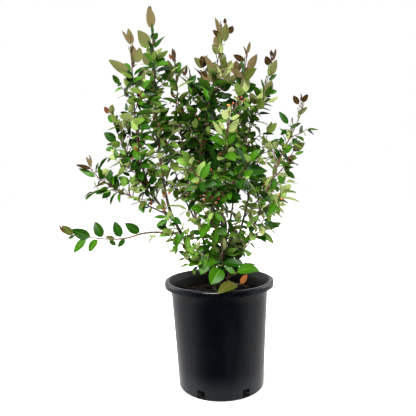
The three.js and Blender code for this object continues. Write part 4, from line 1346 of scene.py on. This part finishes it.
# %% Side twigs and spurs
TWIG_LIFT = 0.2
TWIG_LEAF = 24.0
TWIG_LEAF_SPACING = 7.0
TWIG_LEAF_SPREADS = (0.75, 1.15)
TWIG_TIP_SPREADS = (0.1, 0.4)
TWIG_BARE = 0.3
TWIG_LEAFY = 0.65
SPUR_LENGTHS = (5, 9)
SPUR_RADIUS = TWIG_RADIUS * 0.9
SPUR_LEAF = 22.0
SPUR_LEAF_SPREADS = (0.6, 1.1)
BERRY_SHARE = 0.34
BERRY_HEIGHTS = (325.0, 540.0)
BERRY_TURN = 2.1
BERRY_LEAN = 0.9
BERRY_STALKS = (4, 7)
BERRY_STALK_RADIUS = 0.45
BERRY_STALK_LIFT = -0.2
BERRY_RADII = (1.7, 2.3)


def grow_twig(start, aim, length, shoot, to_tip, space, source):
    """A side twig with leaves in turn along it and one at its tip."""
    path = add_twig(start, aim, length, TWIG_RADIUS, TWIG_LIFT)
    count = int(length / TWIG_LEAF_SPACING)
    turn = source.uniform(0, 2 * math.pi)
    for number in range(count):
        share = TWIG_BARE + TWIG_LEAFY * number / max(count - 1, 1)
        place = share * (len(path) - 1)
        step = min(int(place), len(path) - 2)
        root = path[step] + (path[step + 1] - path[step]) * (place - step)
        heading = unit(path[step + 1] - path[step])
        size = TWIG_LEAF * source.uniform(0.7, 1.2)
        tint = tint_of(shoot, root[2], to_tip + length * (1 - share), source)
        spread = source.uniform(*TWIG_LEAF_SPREADS)
        add_leaf(root, heading, turn + number * GOLDEN_ANGLE, spread, size, tint, space, source)
    heading = unit(path[-1] - path[-2])
    spread = source.uniform(*TWIG_TIP_SPREADS)
    size = TWIG_LEAF * source.uniform(0.8, 1.15)
    tint = tint_of(shoot, start[2], to_tip, source)
    add_leaf(path[-1], heading, turn, spread, size, tint, space, source)


def grow_spur(start, aim, shoot, to_tip, space, source):
    """A spur a few millimetres long with two or three small leaves and, by chance, a bunch of berries."""
    path = add_twig(start, aim, source.uniform(*SPUR_LENGTHS), SPUR_RADIUS, TWIG_LIFT)
    heading = unit(path[-1] - path[-2])
    turn = source.uniform(0, 2 * math.pi)
    for number in range(source.integers(2, 4)):
        spread = source.uniform(*SPUR_LEAF_SPREADS)
        size = SPUR_LEAF * source.uniform(0.7, 1.25)
        tint = tint_of(shoot, start[2], to_tip, source)
        add_leaf(path[-1], heading, turn + number * GOLDEN_ANGLE, spread, size, tint, space, source)
    lowest, highest = BERRY_HEIGHTS
    if lowest < start[2] < highest and source.uniform() < BERRY_SHARE:
        for number in range(source.integers(2, 5)):
            stalk = unit(heading + side_of(heading, turn + number * BERRY_TURN) * BERRY_LEAN)
            reach = source.uniform(*BERRY_STALKS)
            end = add_twig(path[-1], stalk, reach, BERRY_STALK_RADIUS, BERRY_STALK_LIFT)[-1]
            berries.append((end, stalk, source.uniform(*BERRY_RADII)))


print("a side twig has a leaf every", TWIG_LEAF_SPACING, "mm")

# %% Grow every shoot
SHOOT_SEED = 53
GROWN_BEFORE = ("left_low", "base_front")
NODE_SPACING = 8.0
OPEN_SPACING = {
    "front_low": 17.0, "centre_mid": 17.0, "left_inner": 17.0, "left_elbow": 17.0,
    "right_outer": 12.0, "right_mid": 11.0, "right_back": 11.0,
    "centre_right": 11.0, "right_back_tall": 11.0, "centre_front": 10.0,
}
FIRST_NODE = 10.0
SHOWN_SHARE = 0.5
TWIGGY_SHARE = 0.66
SPURRY_SHARE = TWIGGY_SHARE + 0.1
TWIG_LENGTH = 50.0
TWIG_SHORTENING = 0.4
LOW_SPREAD = 1.12
HIGH_SPREAD = 0.62
SHOOT_LEAF = (25.0, 37.0)
TIP_LEAVES = ((0.06, 1.0, 0.1), (0.2, 0.6, 0.9), (0.5, 0.95, 0.1), (0.45, 0.9, 0.3))
picked = {**shown_tips, "centre_tall": shown_tips["centre_tall"] + centre_leaves}


def space_of(node):
    """Lowest and highest corner that growth may reach: the CAD node's box and a margin, in millimetres."""
    low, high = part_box(node)
    return np.array(low) / MM - SPACE_MARGIN, np.array(high) / MM + SPACE_MARGIN


def grow_shoot(shoot, source):
    """A leaf at each node up to the picked ones, with twigs and spurs by turns in the lower part.

    A shoot without picked leaves gets a bunch of leaves at its tip, each given by its spread, its share of a
    tip leaf's length and how far it is folded.
    """
    curve, foot_radius, tip_radius = limbs[shoot]
    length = length_of(curve)
    space = space_of(shoot + "_foliage")
    shown_reach = max((row[0] for row in picked.get(shoot, [])), default=0) * SHOWN_SHARE
    twigs.append((curve[::SHOOT_STRIDE], foot_radius, tip_radius))
    turn = source.uniform(0, 2 * math.pi)
    spacing = OPEN_SPACING.get(shoot, NODE_SPACING)
    for node in range(int((length - FIRST_NODE) / spacing)):
        run = FIRST_NODE + node * spacing
        share = run / length
        root, heading = spot_on(curve, share)
        turn += GOLDEN_ANGLE
        to_tip = length - run
        if to_tip < shown_reach:
            break
        spread = LOW_SPREAD + (HIGH_SPREAD - LOW_SPREAD) * share + source.normal(0, 0.12)
        size = (SHOOT_LEAF[0] + (SHOOT_LEAF[1] - SHOOT_LEAF[0]) * share) * source.uniform(0.75, 1.2)
        outward = side_of(heading, turn + math.pi)
        if share < TWIGGY_SHARE and node % 2 == 0:
            reach = TWIG_LENGTH * (1 - TWIG_SHORTENING * share) * source.uniform(0.55, 1.25)
            aim = unit(heading * 0.62 + outward * 0.78)
            tip = root + aim * reach
            if np.all(tip > space[0]) and np.all(tip < space[1]) and clear_of_pot(tip[None]):
                grow_twig(root, aim, reach, shoot, to_tip, space, source)
        elif share < SPURRY_SHARE:
            aim = unit(heading * 0.5 + outward * 0.87)
            grow_spur(root, aim, shoot, to_tip, space, source)
        tint = tint_of(shoot, root[2], to_tip, source)
        add_leaf(root, heading, turn, spread, size, tint, space, source)
    if shoot in shown_tips:
        return
    root, heading = spot_on(curve, 1)
    turn = math.pi + source.normal(0, 0.5)
    for spread, reach, folded in TIP_LEAVES:
        size = TIP_LEAF_REACH * reach * source.uniform(0.92, 1.08)
        tint = tint_of(shoot, root[2], 0, source)
        add_leaf(root, heading, turn, spread, size, tint, space, source, folded)
        turn += GOLDEN_ANGLE


for number, shoot in enumerate(SHOOTS):
    if shoot not in GROWN_BEFORE:
        grow_shoot(shoot, np.random.default_rng([SHOOT_SEED, number]))
print(len(leaves), "leaves on", len(twigs), "twigs with", len(berries), "berries")

# %% [markdown]
# ## Spurs on older wood
# Stems and boughs are not bare either: short spurs with a few leaves, and sometimes berries, grow straight
# from them. The feet of the stems at the back carry more spurs, because fewer leaves are listed there.

# %% Spurs on stems and boughs
SPUR_SEED = 67
SPUR_SPACING = 20.0
FOOT_SPUR_SPACING = 6.0
FOOT_TOP = 245.0
LEAFY_FEET = ("left_back_stem", "right_back_stem", "back_stem")
BARE_STEM = 0.2
BARE_BOUGH = 0.1
whole_space = np.array([np.array(corner) / MM for corner in cad_box])

for number, name in enumerate({**STEMS, **BOUGHS}):
    source = np.random.default_rng([SPUR_SEED, number])
    curve, _, _ = limbs[name]
    length = length_of(curve)
    run = length * (BARE_STEM if name in STEMS else BARE_BOUGH)
    turn = number
    while run < length - SPUR_SPACING:
        root, heading = spot_on(curve, run / length)
        aim = unit(heading * 0.4 + side_of(heading, turn))
        grow_spur(root, aim, name, OLIVE_REACH, whole_space, source)
        turn += GOLDEN_ANGLE
        at_foot = name in LEAFY_FEET and root[2] < FOOT_TOP
        run += FOOT_SPUR_SPACING if at_foot else SPUR_SPACING
print(len(leaves), "leaves in all")

# %% [markdown]
# ## Leaf blades
# A leaf is a short stalk and a pointed oval blade, folded a little along its midrib, bent back towards its
# tip and twisted. Each is a closed bar of nine-sided rings: five columns for the upper face, of which the
# middle one is the pale midrib, and four for the underside. All blades are worked out at once, so that each
# has its own size, fold, bend and twist but still only a few dozen faces. A waxy upper face has a soft
# sheen. Felt scatters the light, so that undersides and the youngest leaves are matt.

# %% Blades from arrays
BLADE_STATIONS = np.array([0.0, 0.1, 0.27, 0.46, 0.66, 0.86])
BLADE_ACROSS = np.array([-1.0, -0.5, -0.05, 0.05, 0.5, 1.0, 0.5, 0.0, -0.5])
BLADE_SHEET = np.array([0.0, 1.0, 1.0, 1.0, 1.0, 0.0, -1.0, -1.0, -1.0])
BLADE_COLUMNS = np.array([0, 0, 2, 0, 0, 1, 1, 1, 1])
BLADE_THICKNESS = 0.3
STALK_SHARE = 0.11
STALK_HALF_WIDTH = 0.45
WIDEST = 0.4
FOOT_POWER = 0.65
TIP_POWER = 0.98
BLADE_CUP = 0.16
PLEAT = 0.3
PLEATED_AT = 0.5


def blade_points(rows):
    """The midrib is an arc that bends back, and each ring lies across it, raised at its edges by the fold.

    At a share s of the blade, half the width is the widest half times s / WIDEST to the foot's power, times
    (1 - s) / (1 - WIDEST) to the tip's power.
    """
    gather = {key: np.array([row[key] for row in rows]) for key in rows[0] if key != "tint"}
    length = gather["length"][:, None, None]
    stalk = length * STALK_SHARE
    blade = length - stalk
    s = BLADE_STATIONS[None, :, None]
    bend = gather["bend"][:, None, None]
    aim, face = (gather[key][:, None, None, :] for key in ("aim", "face"))
    across = np.cross(aim, face)
    angle = bend * s
    forward_run = stalk + blade * np.sin(angle) / bend
    drop = blade * (1 - np.cos(angle)) / bend
    root = gather["root"][:, None, None, :]
    midrib = root + aim * forward_run[..., None] - face * drop[..., None]
    upright = aim * np.sin(angle)[..., None] + face * np.cos(angle)[..., None]
    twist = (gather["twist"][:, None, None] * s)[..., None]
    sideways = across * np.cos(twist) + upright * np.sin(twist)
    upright = upright * np.cos(twist) - across * np.sin(twist)
    shape = (s / WIDEST) ** FOOT_POWER * ((1 - s) / (1 - WIDEST)) ** TIP_POWER
    half = length * gather["width"][:, None, None] / 2 * shape + STALK_HALF_WIDTH
    fold = gather["fold"][:, None, None]
    offset = BLADE_ACROSS[None, None, :]
    up_and_down = np.where(np.arange(len(BLADE_STATIONS)) % 2, 1, -1)[None, :, None]
    pleat = PLEAT * up_and_down * (np.abs(offset) == PLEATED_AT)
    cup = np.abs(offset) * np.sin(fold) - BLADE_CUP * offset ** 2
    rise = half * cup + pleat + BLADE_SHEET * BLADE_THICKNESS / 2
    rings = midrib + sideways * (half * offset * np.cos(fold))[..., None] + upright * rise[..., None]
    bend = bend[:, 0]
    tip = (gather["root"] + gather["aim"] * (stalk[:, 0] + blade[:, 0] * np.sin(bend) / bend)
           - gather["face"] * (blade[:, 0] * (1 - np.cos(bend)) / bend))
    count = len(rows)
    return np.concatenate([rings.reshape(count, -1, 3), gather["root"][:, None], tip[:, None]], axis=1)


def blade_faces(count):
    """Faces of closed bars. The underside's quads start one corner on, so that both sheets split alike."""
    sides = len(BLADE_ACROSS)
    quads, ends = ring_faces(count, len(BLADE_STATIONS), sides)
    under = np.tile(BLADE_COLUMNS == 1, len(quads) // sides)
    quads[under] = np.roll(quads[under], -1, axis=1)
    return quads, ends


def blade_finishes(rows):
    """Material of each face: upper face, underside, midrib or stalk, from the leaf's tint."""
    tint = np.array([TINT_NAMES.index(row["tint"]) for row in rows])[:, None] * 3
    quads = tint + np.tile(BLADE_COLUMNS, len(BLADE_STATIONS) - 1)
    stalk = np.full((len(rows), len(BLADE_COLUMNS)), len(TINTS) * 3)
    tips = tint + BLADE_COLUMNS
    return np.concatenate([quads.ravel(), np.hstack([stalk, tips]).ravel()])


print("a leaf has", len(BLADE_STATIONS) * len(BLADE_ACROSS) + 2, "points")

# %% Leaf pieces
LEAVES_A_PIECE = 1500
LEAF_CREASE = 50
LEAF_IOR = 1.42
FELT_IOR = 1.4
WAX_SHEEN = (0.38, 0.08)
FELT_SHEEN = (0.7, 0.02)
FELTED_TINTS = ("buff", "bronze", "rust")

leaf_finishes = []
for name, (upper, underside, rib) in TINTS.items():
    skin, sheen = ("felted", FELT_SHEEN) if name in FELTED_TINTS else ("waxy", WAX_SHEEN)
    leaf_finishes.append(new_finish(skin + " leaf face " + name, upper, sheen[0], LEAF_IOR, sheen[1]))
    leaf_finishes.append(new_finish("felted leaf underside " + name, underside, 0.9, FELT_IOR, 0.03))
    leaf_finishes.append(new_finish("leaf midrib " + name, rib, 0.6, LEAF_IOR, 0.11))
leaf_finishes.append(new_finish("leaf stalk", "#665A30", 0.6, LEAF_IOR, 0.2))

foliage_nodes = [shoot + "_foliage" for shoot in SHOOTS]
for number, first in enumerate(range(0, len(leaves), LEAVES_A_PIECE), 1):
    rows = leaves[first:first + LEAVES_A_PIECE]
    piece = make_piece("leaves_" + str(number), blade_points(rows), blade_faces(len(rows)), leaf_finishes,
                       blade_finishes(rows), crease=LEAF_CREASE)
    settle(piece, "foliage", *foliage_nodes)

# %% [markdown]
# ## Twigs
# Young cotoneaster wood is thin and reddish brown. Shoots and side twigs are plain tapered bars: at a
# millimetre or two across they need no relief, and the leaves hide most of each.

# %% Twig pieces
SHOOT_SIDES = 8
TWIG_SIDES = 5
TWIG_GROUPS = (("shoots", CURVE_STEPS // SHOOT_STRIDE + 1, SHOOT_SIDES), ("twigs", TWIG_RINGS, TWIG_SIDES))


def twig_points(group, sides):
    """Bars of one count of rings, each tapered evenly from its foot radius to its tip radius."""
    paths = np.array([path for path, _, _ in group])
    share = np.linspace(0, 1, paths.shape[1])
    radii = np.array([foot + (tip - foot) * share for _, foot, tip in group])
    return tubes(paths, np.repeat(radii[..., None], sides, axis=2), sides)


young_bark = new_finish("red-brown twig bark", "#3C281E", 0.6, WOOD_IOR, 0.3)
for name, rings, sides in TWIG_GROUPS:
    group = [twig for twig in twigs if len(twig[0]) == rings]
    piece = make_piece(name, twig_points(group, sides), ring_faces(len(group), rings, sides), [young_bark])
    settle(piece, "foliage", *foliage_nodes)

# %% [markdown]
# ## Berries
# The fruit are small round pomes, orange when they colour and red when ripe, each with a dark star where
# the flower was. A berry is a bar of rings that swell and close again, and its last faces take the dark
# colour. The smooth skin has a small clear highlight.

# %% Berry piece
BERRY_RINGS = 5
BERRY_SIDES = 8
BERRY_SEED = 71
BERRY_STRETCH = 1.05
BERRY_IOR = 1.42
BERRY_TINTS = {"#8E3A20": 3, "#6A2014": 2, "#A85C34": 3, "#B87A4A": 1.5}


def berry_points(rows):
    """A near-sphere: rings at cosines along the stalk's heading, with sines for radii."""
    place, heading, radius = (np.array(column) for column in zip(*rows))
    angle = np.linspace(0, math.pi, BERRY_RINGS + 2)
    run = (1 - np.cos(angle)) * BERRY_STRETCH
    paths = place[:, None] + heading[:, None] * (run * radius[:, None])[..., None]
    radii = radius[:, None] * np.sin(angle)[1:-1]
    points = tubes(paths[:, 1:-1], np.repeat(radii[..., None], BERRY_SIDES, axis=2), BERRY_SIDES)
    points[:, -2] = paths[:, 0]
    points[:, -1] = paths[:, -1]
    return points


berry_finishes = [new_finish("ripe berry skin " + tint[1:], tint, 0.3, BERRY_IOR, 0.5)
                  for tint in BERRY_TINTS]
berry_finishes.append(new_finish("dry flower star", "#2A140E", 0.8, 1.4, 0.3))
source = np.random.default_rng(BERRY_SEED)
berry_deal = deal(len(berries), list(BERRY_TINTS.values()), source)[:, None]
berry_quads = np.repeat(berry_deal, BERRY_SIDES * (BERRY_RINGS - 1), axis=1)
berry_ends = np.hstack([np.repeat(berry_deal, BERRY_SIDES, axis=1),
                        np.full((len(berries), BERRY_SIDES), len(BERRY_TINTS))])
berry_piece = make_piece("berries", berry_points(berries), ring_faces(len(berries), BERRY_RINGS, BERRY_SIDES),
                         berry_finishes, np.concatenate([berry_quads.ravel(), berry_ends.ravel()]))
settle(berry_piece, "foliage", *foliage_nodes)

# %% [markdown]
# ## Floor, light and camera
# The plant stands on plain white paper under soft light, as in a catalogue picture. A softbox above and in
# front gives most of the light, strip lights stand at both sides, and a softbox behind keeps the far side
# from going dark. The world adds only a weak fill. The pale edges of the pot are the white studio walls,
# mirrored in the satin plastic, and the wall behind the camera is dark, so that the pot's front stays
# black. The camera stands where the fit of the pot's ellipses puts it: in front, near the middle of the
# plant's height, dipped a little.

# %% Paper floor
FLOOR_HALF = 6.0
FLOOR_GLOW = 1.1
FLOOR_SHADE_REACH = (0.078, 0.150)
PAPER_TOOTH = 0.006
PAPER_WHITE = "#F4F4F2"
PAPER_GREY = "#B0B0AA"
WHITE = (1, 1, 1, 1)


def paper_floor():
    """Matt white paper with a faint tooth, drawn a few millimetres coarse so that it can show at all.

    To the eye the paper glows, as a floor that runs on into a white wall does. Close to the pot the glow
    fades out, a painted shadow round its foot, and there the grey that the paper shows to the camera is seen.
    The glow doesn't light the plant.
    """
    finish = new_finish("matt white paper", PAPER_WHITE, 0.95, 1.5, 0.1)
    tree, shader, place = start_pattern(finish)
    shader.inputs["Emission Color"].default_value = WHITE
    away = add(tree, "ShaderNodeVectorMath", {0: place}, operation="LENGTH").outputs["Value"]
    # Painted shadow: the glow fades out towards the pot's foot.
    near, far = FLOOR_SHADE_REACH
    glow_range = {"Value": away, "From Min": near, "From Max": far, "To Min": 0.0, "To Max": FLOOR_GLOW}
    glow = add(tree, "ShaderNodeMapRange", glow_range).outputs["Result"]
    seen = add(tree, "ShaderNodeLightPath", {}).outputs["Is Camera Ray"]
    papers = {0: seen, 6: linear(PAPER_WHITE), 7: linear(PAPER_GREY)}
    paper = add(tree, "ShaderNodeMix", papers, data_type="RGBA").outputs[2]
    shown = add(tree, "ShaderNodeMath", {0: glow, 1: seen}, operation="MULTIPLY").outputs["Value"]
    tooth = add(tree, "ShaderNodeTexNoise", {"Vector": place, "Scale": 1 / PAPER_TOOTH, "Detail": 2.0})
    bump = add(tree, "ShaderNodeBump", {"Height": tooth.outputs["Fac"], "Strength": 0.02, "Distance": 0.0005})
    tree.links.new(paper, shader.inputs["Base Color"])
    tree.links.new(shown, shader.inputs["Emission Strength"])
    tree.links.new(bump.outputs["Normal"], shader.inputs["Normal"])
    return finish


floor_mesh = bpy.data.meshes.new("floor")
floor_corners = np.array([[-1, -1, 0], [1, -1, 0], [1, 1, 0], [-1, 1, 0]]) * FLOOR_HALF
floor_mesh.from_pydata(floor_corners, [], [(0, 1, 2, 3)])
floor_mesh.materials.append(paper_floor())
floor = bpy.data.objects.new("floor", floor_mesh)
floor.visible_glossy = False
bpy.context.collection.objects.link(floor)
print("the floor is", 2 * FLOOR_HALF, "m square")

# %% Lights
LIGHTS = [
    ("overhead softbox", (-0.5, -1.7, 2.0), (0, 0, 0.4), (1.2, 1.2), 275, True),
    ("left strip light", (-1.6, 0.6, 0.8), (0, 0, 0.3), (1.0, 1.4), 16, True),
    ("right strip light", (1.6, 0.6, 0.8), (0, 0, 0.3), (1.0, 1.4), 16, True),
    ("back softbox", (0.6, 1.9, 1.5), (0, 0, 0.35), (1.2, 1.2), 140, False),
]


def add_light(name, place, target, size, power, mirrored):
    """A rectangular area light at place, in metres, that faces the target, and that may be seen mirrored."""
    lamp = bpy.data.lights.new(name, "AREA")
    lamp.shape = "RECTANGLE"
    lamp.size, lamp.size_y = size
    lamp.energy = power
    light = bpy.data.objects.new(name, lamp)
    light.visible_glossy = mirrored
    back = unit(np.array(place) - np.array(target))
    right = unit(np.cross(UP, back))
    columns = np.column_stack([right, np.cross(back, right), back])
    light.matrix_world = Matrix.Translation(place) @ Matrix(columns.tolist()).to_4x4()
    bpy.context.collection.objects.link(light)


for row in LIGHTS:
    add_light(*row)
print(len(LIGHTS), "area lights")

# %% White studio
FILL_LIGHT = 0.05
STUDIO_FRONT = 0.015
STUDIO_WALLS = 1.0
DARK_UP_TO = -0.75
WHITE_FROM = -0.15


def white_studio():
    """White to the camera, a weak fill to matt surfaces, and walls that glossy ones mirror.

    The walls brighten smoothly from the dark one behind the camera to the white ones at the sides and behind.
    """
    world = bpy.data.worlds.new("white studio")
    world.use_nodes = True
    tree = world.node_tree
    backdrop = tree.nodes["Background"]
    backdrop.inputs["Color"].default_value = WHITE
    fill = add(tree, "ShaderNodeBackground", {"Color": WHITE, "Strength": FILL_LIGHT}).outputs[0]
    heading = add(tree, "ShaderNodeTexCoord", {}).outputs["Generated"]
    depth = add(tree, "ShaderNodeSeparateXYZ", {"Vector": heading}).outputs["Y"]
    wall_range = {"Value": depth, "From Min": DARK_UP_TO, "From Max": WHITE_FROM,
                  "To Min": STUDIO_FRONT, "To Max": STUDIO_WALLS}
    walls = add(tree, "ShaderNodeMapRange", wall_range, interpolation_type="SMOOTHSTEP").outputs["Result"]
    mirrored = add(tree, "ShaderNodeBackground", {"Color": WHITE, "Strength": walls}).outputs[0]
    ray = add(tree, "ShaderNodeLightPath", {}).outputs
    light = add(tree, "ShaderNodeMixShader", {"Fac": ray["Is Glossy Ray"], 1: fill, 2: mirrored}).outputs[0]
    both = {"Fac": ray["Is Camera Ray"], 1: light, 2: backdrop.outputs[0]}
    either = add(tree, "ShaderNodeMixShader", both).outputs[0]
    tree.links.new(either, tree.nodes["World Output"].inputs["Surface"])
    return world


bpy.context.scene.world = white_studio()
bpy.context.scene.view_settings.view_transform = "Standard"
print("the fill light has a strength of", FILL_LIGHT)

# %% Camera
SENSOR_WIDTH = 36.0

lens = bpy.data.cameras.new("camera")
lens.sensor_width = SENSOR_WIDTH
lens.lens = SENSOR_WIDTH * FOCAL_LENGTH_PIXELS / IMAGE_PIXELS
camera = bpy.data.objects.new("camera", lens)
camera.matrix_world = (Matrix.Translation(CAMERA_PLACE)
                       @ Matrix(np.column_stack([view_right, view_top, -view_forward]).tolist()).to_4x4())
bpy.context.collection.objects.link(camera)
bpy.context.scene.camera = camera
print("lens", round(lens.lens, 2), "mm")
